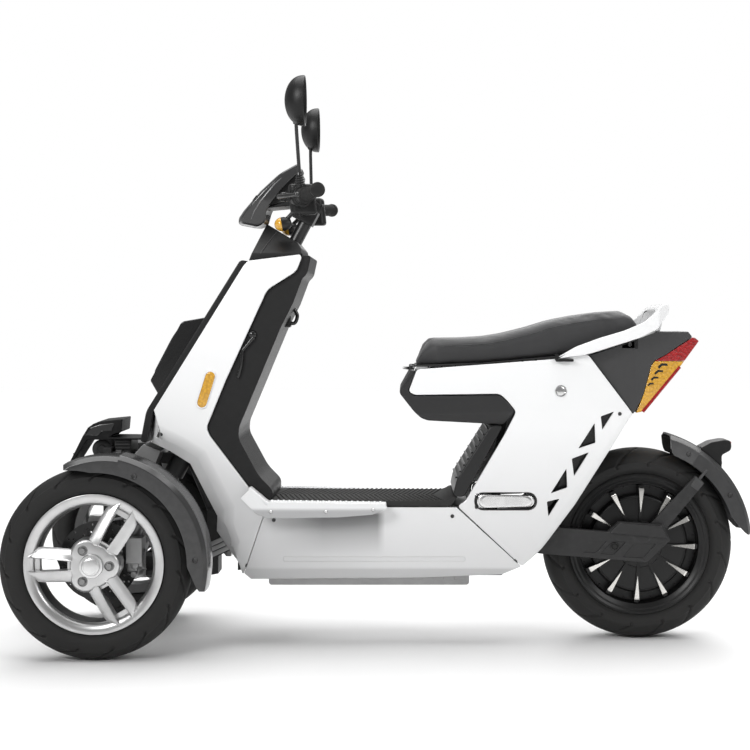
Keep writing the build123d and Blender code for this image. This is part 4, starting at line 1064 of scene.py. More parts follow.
# A junction box and two round horns hang under the nose's shelf.
shape = bmesh.new()
block(shape, (-0.712, -0.052, 0.484), (-0.668, 0.052, nose_shelf), 0.003)
horn = [(0, -0.006), (0.024, -0.006), (0.0255, -0.002), (0.0255, 0.006), (0.021, 0.0085)]
horn += [(0.012, 0.0085), (0.01, 0.011), (0, 0.011)]
for side in (-1, 1):
    turned(shape, (-0.748, side * 0.03, 0.498), (0, side, 0), horn, 28)
    low, high = sorted((side * 0.05, side * 0.0545))
    for i in range(4):
        z = 0.49 + 0.009 * i
        block(shape, (-0.709, low, z), (-0.671, high, z + 0.0045), 0.001)
piece("nose_horns", shape, powder_coat("horn_coat", 0.012, 0.35), "chassis")

# ---- Seat box -----------------------------------------------------------------------------------
# A black moulded cover wraps the box under the seat. Its lower edge turns in under the seat, and the
# storage tub hangs inside on the seat rails.

shape = softened("seat_box_cover", 0.0022, 0.01, 3)
crease(shape, (0.1, 0.598), (0.03, -1), 0.55, 0.006)
crease(shape, (0, tail_crease_height), (0, 1), 0.05, 0.03)
piece(
    "seat_box_moulding", shape, moulded("seat_box_plastic", 0.026, 0.4, shine=0.3), "chassis",
    ["seat_box_cover"]
)
tub_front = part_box("storage_tub")[0].x
shape = softened("storage_tub", 0.0015)
for i in range(7):
    x = tub_front + 0.035 + 0.04 * i
    for side in (-1, 1):
        block(shape, (x, side * 0.085 - 0.002, 0.612), (x + 0.005, side * 0.085 + 0.002, 0.664), 0.001, 1)
piece(
    "storage_tub_moulding", shape, moulded("tub_plastic", 0.016, 0.6), "chassis",
    ["storage_tub"]
)

# ---- Seat ---------------------------------------------------------------------------------------
# A foam cushion under black grained leather sits on a ribbed plastic pan, which is hinged at the
# front. Double seams run along both shoulders and across the front.

seat_leather = Finish("seat_leather", specular_ior_level=0.35, sheen_weight=0.15, sheen_roughness=0.5)
grain = seat_leather.cells(620, "SMOOTH_F1")
crease_lines = seat_leather.clouds(28, detail=5)
hide = seat_leather.mix(crease_lines, (0.026, 0.026, 0.027), (0.036, 0.036, 0.037))
seat_leather.set(
    base_color=seat_leather.mix(worn_edges(seat_leather) * 0.25, hide, (0.09, 0.09, 0.09)),
    roughness=0.5 + crease_lines * 0.12 - grain * 0.08,
)
seat_leather.bump(grain + crease_lines * 0.6, 0.00045)
seat_solid = BVHTree.FromBMesh(copied("seat_cushion"))


def seat_reach(x, way):
    """How far the cushion's CAD solid reaches from its middle line at x: up, down or to the side."""
    if way == "side":
        height = (seat_reach(x, "top") + seat_reach(x, "bottom")) / 2
        return -seat_solid.ray_cast(Vector((x, -1, height)), Vector((0, 1, 0)))[0].y
    start, down = (2, -1) if way == "top" else (0.3, 1)
    return seat_solid.ray_cast(Vector((x, 0, start)), Vector((0, 0, down)))[0].z


# How far out and how far up each point of the cushion's section is: the side pulls in at the foot,
# swells at its middle and turns over the shoulder to a crowned top.
section = [(0, 0), (0.5, 0), (0.88, 0.0), (0.955, 0.04), (0.978, 0.16), (0.992, 0.36), (1.0, 0.55)]
section += [(0.99, 0.72), (0.966, 0.83), (0.93, 0.9), (0.86, 0.95), (0.7, 0.985), (0.4, 0.998), (0, 1.0)]
stations = [0.0705, 0.074, 0.079, 0.086, 0.094, 0.104, 0.116, 0.13, 0.15]
stations += [0.17 + 0.023 * i for i in range(20)]
stations += [0.623, 0.634, 0.643, 0.65, 0.656, 0.6605, 0.6635]
shape = bmesh.new()
rings = []
for x in stations:
    low, high = seat_reach(x, "bottom") + 0.0005, seat_reach(x, "top") - 0.003
    out = seat_reach(x, "side") - 0.003
    half = [(x, out * y, low + (high - low) * z) for y, z in section]
    rings.append(half + [(x, -y, z) for x, y, z in half[-2:0:-1]])
skin(shape, rings)
cushion = piece(
    "seat_cushion_leather", shape, seat_leather.material, "seat", ["seat_cushion"], 60
)


foam_voxel, foam_frames = 0.006, 20


def stuffed(thing, swell, cap):
    """Blows a cushion up a little, as foam fills its cover, and keeps what it rests on flat."""
    grid = thing.modifiers.new("grid", "REMESH")
    grid.mode, grid.voxel_size = "VOXEL", foam_voxel
    cover = thing.modifiers.new("cover", "CLOTH")
    cover.settings.use_pressure = True
    cover.settings.uniform_pressure_force = swell
    cover.settings.effector_weights.gravity = 0
    cover.settings.quality = 6
    for step in range(1, foam_frames + 1):
        bpy.context.scene.frame_set(step)
        now = thing.evaluated_get(bpy.context.evaluated_depsgraph_get())
        places = [v.co.copy() for v in now.data.vertices]
        if step == 1:
            rest, mesh = places, bpy.data.meshes.new_from_object(now)
    bpy.context.scene.frame_set(1)
    for modifier in (cover, grid):
        thing.modifiers.remove(modifier)
    for vert, start, end in zip(mesh.vertices, rest, places):
        move = end - start
        if vert.normal.z < -0.7:
            move.z = max(0.0, move.z)
        vert.co = start + move * min(1.0, cap / max(move.length, 1e-9))
    thing.data = mesh
    mesh.polygons.foreach_set("use_smooth", [True] * len(mesh.polygons))
    thing.modifiers.new("fine_skin", "SUBSURF").levels = 1
    thing.modifiers["fine_skin"].render_levels = 1


stuffed(cushion, 4.0, 0.006)


def seam_line(side, drop):
    """Points along the cushion's shoulder on one side, a distance below its top."""
    bpy.context.view_layer.update()
    points = []
    for x in stations[7:-8]:
        height = seat_reach(x, "top") - drop
        hit, place, _, _ = cushion.ray_cast(Vector((x, side, height)), Vector((0, -side, 0)))
        points.append(place)
    return points


shape = bmesh.new()
for side in (-1, 1):
    tube(shape, seam_line(side, 0.0165), 0.0011, 8)
    tube(shape, seam_line(side, 0.0195), 0.0008, 8)
for x in (0.1125, 0.1155):
    across = []
    for i in range(-12, 13):
        hit, place, _, _ = cushion.ray_cast(
            Vector((x - 0.018 * abs(i) / 12, i * 0.0095, 1)), Vector((0, 0, -1))
        )
        if hit:
            across.append(place)
    tube(shape, across, 0.0009, 8)
piece("seat_seams", shape, seat_leather.material, "seat")

pan_plastic = moulded("seat_pan_plastic", 0.02, 0.55)
shape = softened("seat_pan", 0.001, angle=40)
for i in range(9):
    x = 0.11 + 0.035 * i
    block(shape, (x, -0.1, 0.714 + 0.02 * i / 9), (x + 0.003, 0.1, 0.722 + 0.0195 * i / 9), 0.0008, 1)
piece("seat_pan_moulding", shape, pan_plastic, "seat", ["seat_pan"])

# ---- Tail ---------------------------------------------------------------------------------------
# A black cover closes the tail and has a flat deck for a rack. The lamp wraps its rear corner: a red
# stop lamp above, amber turn lamps with dark chevrons below, and a thin red line down its edge.


def long_edges(edge):
    return edge.calc_length() > 0.004


shape = welded("tail_cover")
round_off(shape, sharp_edges(shape, 25, long_edges), 0.003, 3)
piece(
    "tail_moulding", shape, moulded("tail_plastic", 0.045, 0.36), "chassis", ["tail_cover"]
)

red_lens = lens_plastic("red_lens", (0.42, 0.006, 0.008), (0.13, 0.002, 0.003))
lamp_split = 0.731
lamps = (("stop_lamp", red_lens, "lamp_red", -1), ("rear_turn_lamp", amber_lens, "amber", 1))
for name, glass, slot, way in lamps:
    shape = copied("tail_lamp")
    parts = [*shape.verts, *shape.edges, *shape.faces]
    bmesh.ops.bisect_plane(
        shape, geom=parts, plane_co=(0, 0, lamp_split - 0.0004 * way), plane_no=(0, 0, way), clear_outer=True
    )
    bmesh.ops.holes_fill(shape, edges=shape.edges)
    if way > 0:
        for vert in shape.verts:
            vert.co.y *= 0.992
    round_off(shape, sharp_edges(shape, 30), 0.0018, 3)
    piece(name, shape, glass, "chassis", ["tail_lamp"] if way < 0 else [])
line_top, line_foot = Vector((0.768, 0.7155)), Vector((0.668, 0.5995))
shape = bmesh.new()
for side in (-1, 1):
    rings = []
    for i in range(9):
        x, z = line_top.lerp(line_foot, i / 8)
        out = 0.104 - 0.034 * max(0.0, x - 0.645) / 0.175
        ring = [(-0.005, 0.0006), (0.0015, 0.0012), (0.0035, -0.0015), (0.001, -0.006), (-0.005, -0.006)]
        rings.append([(x + 0.8 * a, side * (out + b), z - 0.6 * a) for a, b in ring])
    skin(shape, rings)
piece("tail_edge_lines", shape, red_lens, "chassis")
chevron_paint = moulded("chevron_black", 0.01, 0.3)
chevrons = ((0.722, 0.716, 0.012), (0.711, 0.7, 0.0105), (0.7, 0.684, 0.009), (0.689, 0.669, 0.0075))
shape = bmesh.new()
lamp_skin = bpy.data.objects["rear_turn_lamp"]
for side in (-1, 1):
    for x, z, size in chevrons:
        place, way = on_side(lamp_skin, x, z, side)
        mark = [(-1, -0.35), (-0.2, 0.35), (1, 0.25), (1.0, 0.7), (-0.35, 0.8), (-1.25, 0.05)]
        layers(
            shape, place, [Vector(p) * size for p in mark], [(0, -0.001), (0, 0.0009), (0.0006, 0.0013)],
            side, way
        )
piece("turn_lamp_chevrons", shape, chevron_paint, "chassis")

# ---- Grab rail ----------------------------------------------------------------------------------
# A flat alloy bar runs round the tail from one side of the seat to the other. It is painted white,
# and stands on black brackets at its front ends and two feet on the deck.

rail_paint = white_paint("grab_rail_paint")
piece(
    "grab_rail_bar", softened("grab_rail", 0.0035, 0.014, 4), rail_paint, "chassis",
    ["grab_rail"]
)
rail_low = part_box("grab_rail")[0]
brackets, screws = bmesh.new(), bmesh.new()
for side in (-1, 1):
    out = sorted((side * 0.1365, side * 0.1515))
    block(
        brackets, (rail_low.x - 0.006, out[0], rail_low.z - 0.004),
        (rail_low.x + 0.003, out[1], rail_low.z + 0.012), 0.002
    )
    block(
        brackets, (rail_low.x - 0.004, out[0], rail_low.z - 0.007),
        (rail_low.x + 0.042, out[1], rail_low.z - 0.0005), 0.002
    )
    block(brackets, (0.61, side * 0.094 - 0.01, 0.762), (0.655, side * 0.094 + 0.01, 0.792), 0.003)
    screw(screws, (0.633, side * 0.104, 0.775), (0, side, 0), 0.006)
    screw(screws, (rail_low.x + 0.02, side * 0.1495, rail_low.z - 0.0035), (0, side, 0), 0.0025)
piece("grab_rail_brackets", brackets, cover_plastic, "chassis")
piece("grab_rail_screws", screws, screw_steel, "chassis")

# ---- Rear tyre ----------------------------------------------------------------------------------
# A tubeless tyre with a rounded section, bead and shoulder lines on its walls, and long curved sipes
# that sweep back over both shoulders.

tyre_rubber = rubber("tyre_rubber", 0.016, 0.66)
wheel_steps = 540
bead_inset = 0.0187  # how far inside the rim's edge the bead sits
sipe_depth, sipe_half = 0.0045, 0.0046


def tyre(node, sipes, bead_side, shoulder):
    """A tyre in its CAD node's place, its bead this far from its middle. Its tread starts at this
    share of its depth, with a small step, and has this many slanting grooves on each side."""
    low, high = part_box(node)
    middle, radius, width = (low + high) / 2, (high.z - low.z) / 2, high.y - low.y
    rim_low, rim_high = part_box(node.replace("tyre", "rim"))
    bead = (rim_high.z - rim_low.z) / 2 - bead_inset
    depth = radius - bead
    tread_start = bead + shoulder * depth
    wall = [(bead, bead_side), (bead + 0.15 * depth, bead_side), (bead + 0.24 * depth, bead_side + 0.001)]
    wall += [(bead + 0.36 * depth, 0.465 * width), (bead + 0.52 * depth, 0.498 * width)]
    wall += [(tread_start, (0.5 - 0.75 * max(0, shoulder - 0.56) ** 1.5) * width)]
    crown = [(tread_start + 0.0004, wall[-1][1] - 0.0017)]
    for share in (0.25, 0.5, 0.75, 1.0):
        out = (1 - (1 - share) ** 2.1) ** 0.72
        crown.append((tread_start + out * (radius - tread_start), crown[0][1] * (1 - 0.95 * share)))
    curve = [(p.x, p.y) for line in (wall, crown) for p in smooth_line([(r, s, 0) for r, s in line], 5)]
    line_at = bead + 0.3 * depth
    curve = [(r, s + (0.0009 if abs(r - line_at) < 0.0022 else 0)) for r, s in curve]
    section = curve + [(r, -s) for r, s in curve[::-1]]
    section += [(bead, -bead_side * 0.75), (bead + 0.5 * depth, -bead_side * 0.8)]
    section += [(bead + 0.5 * depth, bead_side * 0.8), (bead, bead_side * 0.75)]
    shape = bmesh.new()
    rings = []
    for i in range(wheel_steps + 1):
        angle = tau * (i % wheel_steps) / wheel_steps
        ring = []
        for r, s in section:
            share = abs(s) / crown[0][1]
            if r > tread_start - 0.01 and 0.12 < share:
                lead = (0.5 * share**2 + (0.5 if s > 0 else 0)) * tau / sipes
                turn = (angle - lead * 1.4) * sipes / tau
                gap = abs(turn - round(turn)) * tau / sipes * radius
                sink = sipe_depth * max(0.0, 1 - gap / sipe_half) ** 0.5
                r -= sink * (1 - 0.75 * share**2)
                s -= sink * share * (1 if s > 0 else -1)
            ring.append((middle.x + r * cos(angle), middle.y + s, middle.z + r * sin(angle)))
        rings.append(ring)
    skin(shape, rings, caps=False)
    return shape


piece(
    "rear_tyre_rubber", tyre("rear_tyre", 16, 0.0475, 0.58), tyre_rubber, "rear_wheel", ["rear_tyre"],
    50
)

# ---- Rear wheel ---------------------------------------------------------------------------------
# The rear rim is cast round the hub motor and painted gloss black. Twelve cooling fins stand on
# each face of the motor, and their outer tips are machined bright.



def middle_of(node):
    """The middle of a CAD node's box, which on a wheel is its hub."""
    low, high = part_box(node)
    return (low + high) / 2


def on_wheel(hub, side, angle, far, beside, height):
    """A point of a wheel: out along a spoke, beside it, and out from the middle plane."""
    along, by = Vector((cos(angle), 0, sin(angle))), Vector((-sin(angle), 0, cos(angle)))
    return hub + along * far + by * beside + Vector((0, side * height, 0))


rear_hub = middle_of("rear_rim")
fins, first_fin, motor_screws = 12, 27.5, 26
fin = [(0.04, 0.0042, 0.0535), (0.085, 0.0055, 0.0545), (0.14, 0.0068, 0.0545), (0.1535, 0.0072, 0.049)]
fin_tip = [(0.084, 0.0005, 0.0548), (0.141, 0.0062, 0.0562), (0.146, 0.0066, 0.053)]
fin_foot = 0.03  # fins and tips give a distance from the hub, half a width and a height there
rim_black = moulded("rear_rim_paint", 0.006, 0.32, 400, 0.00002, 0.35)
fin_metal = steel("fin_tip_metal", 0.85, 0.2, (1.0, 0.98, 0.94))
half = [
    (0.1655, 0.045), (0.1835, 0.0455), (0.1845, 0.0485), (0.1835, 0.0516), (0.179, 0.0525), (0.1735, 0.0495)
]
half += [(0.169, 0.0508), (0.166, 0.0495), (0.1625, 0.0465), (0.158, 0.0445), (0.156, 0.038), (0.1545, 0.015)]
shape = bmesh.new()
ring = [(0.16, 0.03)] + half + [(r, -s) for r, s in half[::-1]] + [(0.16, -0.03)]
turned(shape, rear_hub, (0, 1, 0), ring, 120, loop=True)
tips = bmesh.new()
for side in (-1, 1):
    motor = [
        (0.1548, 0.0), (0.1548, 0.014), (0.1295, 0.0145), (0.1285, 0.04), (0.126, 0.0438), (0.1228, 0.0455)
    ]
    motor += [
        (0.1222, 0.0468), (0.1208, 0.0468), (0.1202, 0.0455), (0.1, 0.0475), (0.062, 0.0495), (0.06, 0.052)
    ]
    turned(shape, rear_hub, (0, side, 0), motor + [(0.046, 0.0535), (0.03, 0.054), (0, 0.054)], 96)
    for i in range(fins):
        angle = radians(first_fin + 360 / fins * i)
        rings = []
        for out, wide, height in fin:
            ring = [(-wide, fin_foot), (-wide * 0.8, height), (wide * 0.8, height), (wide, fin_foot)]
            rings.append([on_wheel(rear_hub, side, angle, out, w, h) for w, h in ring])
        skin(shape, rings)
        rings = []
        for out, wide, height in fin_tip:
            ring = [(-wide, height - 0.004), (-wide, height), (wide, height - 0.001), (wide, height - 0.004)]
            rings.append([on_wheel(rear_hub, side, angle, out, w, h) for w, h in ring])
        skin(tips, rings)
    for i in range(motor_screws):
        angle = tau * (i + 0.5) / motor_screws
        place = rear_hub + Vector((0.1495 * cos(angle), side * 0.014, 0.1495 * sin(angle)))
        turned(
            shape, place, (0, side, 0), [(0, 0.003), (0.0018, 0.003), (0.0024, 0.002), (0.0026, -0.001)], 8
        )
piece("rear_rim_casting", shape, rim_black, "rear_wheel", ["rear_rim"])
piece("rear_fin_tips", tips, fin_metal, "rear_wheel")

# ---- Swing arm ----------------------------------------------------------------------------------
# The arm is a pair of cast plates joined by a tube at the pivot. Each has a raised lid over the axle
# clamp, shallow parallelogram recesses and a round rubber cap.

arm_face = 0.104
arm_black = powder_coat("swing_arm_coat", 0.014, 0.42)
shape = welded("swing_arm")
recesses = [
    [(0.512, 0.236), (0.542, 0.2665), (0.574, 0.266), (0.546, 0.2355)],
    [(0.5565, 0.232), (0.586, 0.264), (0.623, 0.2635), (0.5915, 0.23)],
    [(0.614, 0.224), (0.6465, 0.2605), (0.701, 0.258), (0.6675, 0.2215)],
]
cutters = bmesh.new()
for side in (-1, 1):
    for outline in recesses:
        side_plate(cutters, rounded(outline, 0.003, 3), side, 0.1018, 0.12)
shape = carved(shape, cutters)
round_off(shape, sharp_edges(shape, 40, long_edges), 0.0012, 2)
caps = bmesh.new()
lid = rounded([(0.5795, 0.2865), (0.606, 0.3135), (0.716, 0.3045), (0.734, 0.2725)], 0.004)
cover = rounded([(0.372, 0.252), (0.42, 0.262), (0.452, 0.294), (0.395, 0.286)], 0.004)
round_cap = [(0, 0.0022), (0.0055, 0.0022), (0.0065, 0.001), (0.0075, 0.001), (0.0085, 0.0026)]
round_cap += [(0.0098, 0.002), (0.0102, -0.001)]
for side in (-1, 1):
    raised(shape, lid, side, arm_face, [(0, -0.001), (0, 0.003), (0.0025, 0.0055), (0.005, 0.006)])
    raised(shape, cover, side, arm_face, [(0, -0.001), (0, 0.0012), (0.002, 0.002)])
    turned(caps, (0.5944, side * arm_face, 0.252), (0, side, 0), round_cap, 32)
piece("swing_arm_casting", shape, arm_black, "chassis", ["swing_arm"])
piece("swing_arm_caps", caps, rubber("cap_rubber", 0.012, 0.4), "chassis")

# ---- Rear fender --------------------------------------------------------------------------------
# A short moulded fender follows the rear wheel on two stays from the swing arm. Its front end is a
# polished nose, and a black holder on its back takes the number plate and a small lamp.

fender_gloss = moulded("fender_gloss", 0.05, 0.2, 300, 0.00002, 0.6)


def mudguard(shape, hub, half, crown, lip, start, end, cut_back, skin_thick=0.003, drop=0.0):
    """A curved shell over a tyre, between two angles from the rear. Its lips are cut back to the
    crown over some degrees at its start and its end, and the crown drops towards its end."""
    rings = []
    steps = max(8, int((end - start) / 1.5))
    for i in range(steps + 1):
        share = i / steps
        angle = radians(start + (end - start) * share)
        full = 1.0
        for far, reach in ((share, cut_back[0]), (1 - share, cut_back[1])):
            full = min(full, (far * (end - start) / reach) ** 0.7 if reach else 1.0)
        top = crown - drop * share**1.4
        lip_now = top - 0.012 - (top - 0.012 - lip) * full
        outer = [(lip_now, half), (max(lip_now + 0.001, top - 0.013), half), (top - 0.0105, half * 0.985)]
        outer += [(top - 0.0015, half * 0.79), (top, half * 0.74), (top + 0.0015, half * 0.3)]
        whole = outer + [(r, -s) for r, s in outer[::-1]]
        inner = [
            (r - skin_thick * (abs(s) < half * 0.9), s * (1 - skin_thick / half)) for r, s in whole[::-1]
        ]
        along = Vector((cos(angle), 0, sin(angle)))
        rings.append([hub + along * r + Vector((0, s, 0)) for r, s in whole + inner])
    skin(shape, rings)


shape = bmesh.new()
mudguard(shape, rear_hub, 0.0715, 0.2955, 0.249, 5.4, 66, (12, 0))
nose = bmesh.new()
mudguard(nose, rear_hub, 0.0728, 0.2985, 0.25, 57, 74, (0, 4), 0.0045)
piece("rear_fender_nose", nose, fender_gloss, "chassis")
piece(
    "rear_fender_shell", shape, moulded("rear_fender_plastic", 0.036, 0.32), "chassis",
    ["rear_fender"]
)
stays, stay_ends = bmesh.new(), bmesh.new()
stay = rounded([(0.668, 0.283), (0.722, 0.283), (0.831, 0.4136), (0.807, 0.433)], 0.003)
end = rounded([(0.795, 0.406), (0.8133, 0.392), (0.829, 0.4125), (0.808, 0.43)], 0.002)
stay_back, stay_face = 0.0745, 0.0825
for side in (-1, 1):
    side_plate(stays, stay, side, stay_back, stay_face)
    raised(stay_ends, end, side, stay_face, [(0, -0.001), (0, 0.0008), (0.0012, 0.0014)])
    tube(stay_ends, [Vector((0.818, side * 0.078, 0.423)), Vector((0.839, side * 0.069, 0.446))], 0.004, 10)
round_off(stays, sharp_edges(stays, 60), 0.0012, 2)
piece("rear_fender_stays", stays, arm_black, "chassis")
piece("rear_stay_ends", stay_ends, moulded("stay_end_plastic", 0.05, 0.4), "chassis")

shape = bmesh.new()
holder = [
    (0.831, 0.49), (0.831, 0.501), (0.859, 0.516), (0.892, 0.522), (0.909, 0.52), (0.912, 0.505),
    (0.909, 0.494)
]
holder += [(0.886, 0.482), (0.886, 0.42), (0.872, 0.4185), (0.8527, 0.457)]
plate(shape, rounded(holder, 0.006), -0.036, 0.036)
round_off(shape, sharp_edges(shape, 60), 0.003, 3)
fender_bolt_angles, fender_bolt_circle, fender_side = (29, 62), 0.269, 0.0712
bolts = bmesh.new()
for side in (-1, 1):
    for angle in fender_bolt_angles:
        place = rear_hub + Vector((cos(radians(angle)), 0, sin(radians(angle)))) * fender_bolt_circle
        place.y = side * fender_side
        screw(bolts, place, (0, side, 0), 0.0068)
    ring = [(0.0032, -0.008), (0.0032, 0.0005), (0.0062, 0.0012), (0.007, 0.0004), (0.007, -0.008)]
    turned(bolts, (0.886, side * 0.025, 0.461), (1, 0, 0), ring, 24, loop=True)
piece("number_plate_holder", shape, cover_plastic, "chassis")
piece("rear_fender_bolts", bolts, screw_steel, "chassis")
shape = bmesh.new()
reflector = rounded([(-0.024, -0.009), (0.024, -0.009), (0.024, 0.009), (-0.024, 0.009)], 0.004)
steps = ((1, -0.004), (1, 0.003), (0.94, 0.0048), (0.5, 0.0056))
skin(shape, [[(0.9085 + h, p.x * s, 0.508 + p.y * s) for p in reflector] for s, h in steps])
piece("plate_lamp", shape, red_lens, "chassis")

# ---- Front suspension ---------------------------------------------------------------------------
# Cast alloy double wishbones swing on the subframe's pins, with a coil-over shock absorber on each
# lower arm. The springs are painted, the damper rods are chromed, and rubber sits at every pivot.

arm_paint = steel("wishbone_alloy", 0.42, 0.38)
piece(
    "wishbone_arms", softened("wishbones", 0.0006, angle=60), arm_paint, "chassis",
    ["wishbones"], 40
)
shock_low, shock_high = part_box("front_shocks")
shock_x = (shock_low.x + shock_high.x) / 2
spring_foot, spring_turns = 0.0865, 7.5
bodies, springs, rods = bmesh.new(), bmesh.new(), bmesh.new()
for side in (-1, 1):
    foot = Vector((shock_x, side * 0.14, 0.1735))
    head = Vector((shock_x, side * 0.062, 0.488))
    way, length = (head - foot).normalized(), (head - foot).length
    damper = [(0, 0.012), (0.0105, 0.014), (0.0135, 0.03), (0.0135, 0.07), (0.0205, 0.076), (0.0208, 0.083)]
    damper += [(0.0125, 0.086), (0.0125, 0.17), (0.0105, 0.173), (0.0, 0.173)]
    turned(bodies, foot, way, damper, 32)
    cap = [(0, length - 0.052), (0.0205, length - 0.05), (0.021, length - 0.043), (0.0135, length - 0.04)]
    turned(bodies, foot, way, cap + [(0.0125, length - 0.014), (0, length - 0.012)], 32)
    turned(rods, foot, way, [(0, 0.17), (0.0062, 0.17), (0.0062, length - 0.048), (0, length - 0.048)], 20)
    for eye, size in ((foot, 0.0125), (head, 0.0115)):
        bush = [(0.0092, -0.007), (size, -0.007), (size, 0.007), (0.0092, 0.007)]
        turned(bodies, eye, (1, 0, 0), bush, 28, loop=True)
    first, second = square_to(way)
    coil = []
    for i in range(int(spring_turns * 16) + 1):
        angle = tau * i / 16
        up = spring_foot + (length - 0.0545 - spring_foot) * i / (spring_turns * 16)
        coil.append(foot + way * up + (first * cos(angle) + second * sin(angle)) * 0.0172)
    tube(springs, coil, 0.0034, 8)
piece(
    "shock_bodies", bodies, powder_coat("shock_body_coat", 0.02, 0.3), "chassis",
    ["front_shocks"]
)
piece("shock_springs", springs, powder_coat("spring_paint", 0.3, 0.35), "chassis")
piece("shock_rods", rods, bright_steel, "chassis")
boots = bmesh.new()
ring = [(0.009, -0.0125), (0.0128, -0.0125), (0.0138, -0.008), (0.0128, -0.004), (0.0138, 0.0)]
ring += [(0.0128, 0.004), (0.0138, 0.008), (0.0128, 0.0125), (0.009, 0.0125)]
for side in (-1, 1):
    for x, z in ((-0.769, 0.175), (-0.659, 0.175), (-0.674, 0.345), (-0.589, 0.345)):
        turned(boots, (x, side * 0.055, z), (1, 0, 0), ring, 24, loop=True)
piece("pivot_boots", boots, rubber("boot_rubber", 0.014, 0.6), "chassis")

# ---- Knuckles and tie rods ----------------------------------------------------------------------
# Each cast knuckle turns on its kingpin between the wishbones and carries the stub axle, the brake
# caliper and the fender's bracket. Steel tie rods join both to the steering column.

knuckle_alloy = steel("knuckle_alloy", 0.34, 0.38)
rod_steel = steel("tie_rod_steel", 0.5, 0.25)
for name, side in sides:
    body = f"knuckle_{name}"
    shape = softened(body, 0.0012, angle=50)
    wheel = middle_of(f"front_tyre_{name}")
    for z in (-0.018, 0.022):
        place = wheel + Vector((0.09, -side * 0.04, z))
        bolt = [(0, 0.0055), (0.0055, 0.0055), (0.0062, 0.004), (0.0062, -0.004)]
        turned(shape, place + Vector((0.0195, 0, 0)), (1, 0, 0), bolt, 6)
    inner, outer = sorted((-side * 0.022, -side * 0.06))
    block(shape, wheel + Vector((0.07, inner, -0.03)), wheel + Vector((0.1, outer, 0.034)), 0.007, 4)
    block(shape, wheel + Vector((0.084, inner, -0.018)), wheel + Vector((0.113, outer, 0.022)), 0.006, 4)
    for z in (-0.034, 0.038):
        pin = [(0, -0.004), (0.0075, -0.004), (0.0075, 0.034), (0.006, 0.038), (0, 0.038)]
        turned(shape, wheel + Vector((0.088, -side * 0.024, z)), (0, -side, 0), pin, 20)
    for z in (-0.01, 0.014):
        piston = [(0, -0.003), (0.0105, -0.003), (0.0105, 0.003), (0.009, 0.0045), (0, 0.0045)]
        turned(shape, wheel + Vector((0.091, -side * 0.0205, z)), (0, side, 0), piston, 20)
    piece(f"knuckle_casting_{name}", shape, knuckle_alloy, body, [body], 40)
    rod = f"tie_rod_{name}"
    shape = softened(rod, 0.0008, angle=50)
    piece(f"tie_rod_bar_{name}", shape, rod_steel, rod, [rod], 40)

# ---- Front fenders ------------------------------------------------------------------------------
# Each front fender is moulded in two gloss parts, and the rear one laps over the pointed front one.
# They are bolted to the knuckle's bracket, so they turn with the wheel.

front_fender_gloss = moulded("front_fender_gloss", 0.032, 0.2, 300, 0.00001, 0.6)
# Painted highlight: raised lines a few times lighter than the gloss they sit on, along the fender crowns and
# the fairing's rear edge.
highlight_paint = moulded("fender_painted_highlight", 0.13, 0.2, 300, 0.00001, 0.6)
for name, side in sides:
    body = f"knuckle_{name}"
    wheel = middle_of(f"front_tyre_{name}")
    over = wheel + Vector((0.005, 0, 0))
    rear, nose = bmesh.new(), bmesh.new()
    mudguard(rear, over, 0.0612, 0.2765, 0.2275, -13.5, 77, (13, 0), 0.0035)
    mudguard(nose, over, 0.0598, 0.2715, 0.2275, 73, 107.5, (0, 15), 0.003, 0.014)
    piece(
        f"front_fender_rear_{name}", rear, front_fender_gloss, body, [f"front_fender_{name}"],
        30
    )
    piece(f"front_fender_nose_{name}", nose, front_fender_gloss, body, (), 30)
    # A raised line on each side of the crown, toned lighter as a painted highlight.
    highlight_beads, bolts = bmesh.new(), bmesh.new()
    for out in (-1, 1):
        arc = [radians(-2 + 78 * i / 40) for i in range(41)]
        tube(highlight_beads, [over + Vector((0.2745 * cos(a), out * 0.0465, 0.2745 * sin(a))) for a in arc], 0.0016, 6)
        for x, z in ((0.104, 0.218), (0.252, 0.014)):
            place = wheel + Vector((x, out * 0.0609, z))
            screw(bolts, place, (0, out, 0), 0.0072)
    piece(f"front_fender_highlight_beads_{name}", highlight_beads, highlight_paint, body)
    piece(f"front_fender_bolts_{name}", bolts, screw_steel, body)

# ---- Front wheels -------------------------------------------------------------------------------
# Each front rim is cast in alloy, with three pairs of blades that rise to a lobed hub, and polished.
# Three bolts hold it to the hub, and a drilled steel brake disc sits on its inner side.

rim_polish = steel("rim_polish", 0.68, 0.24)
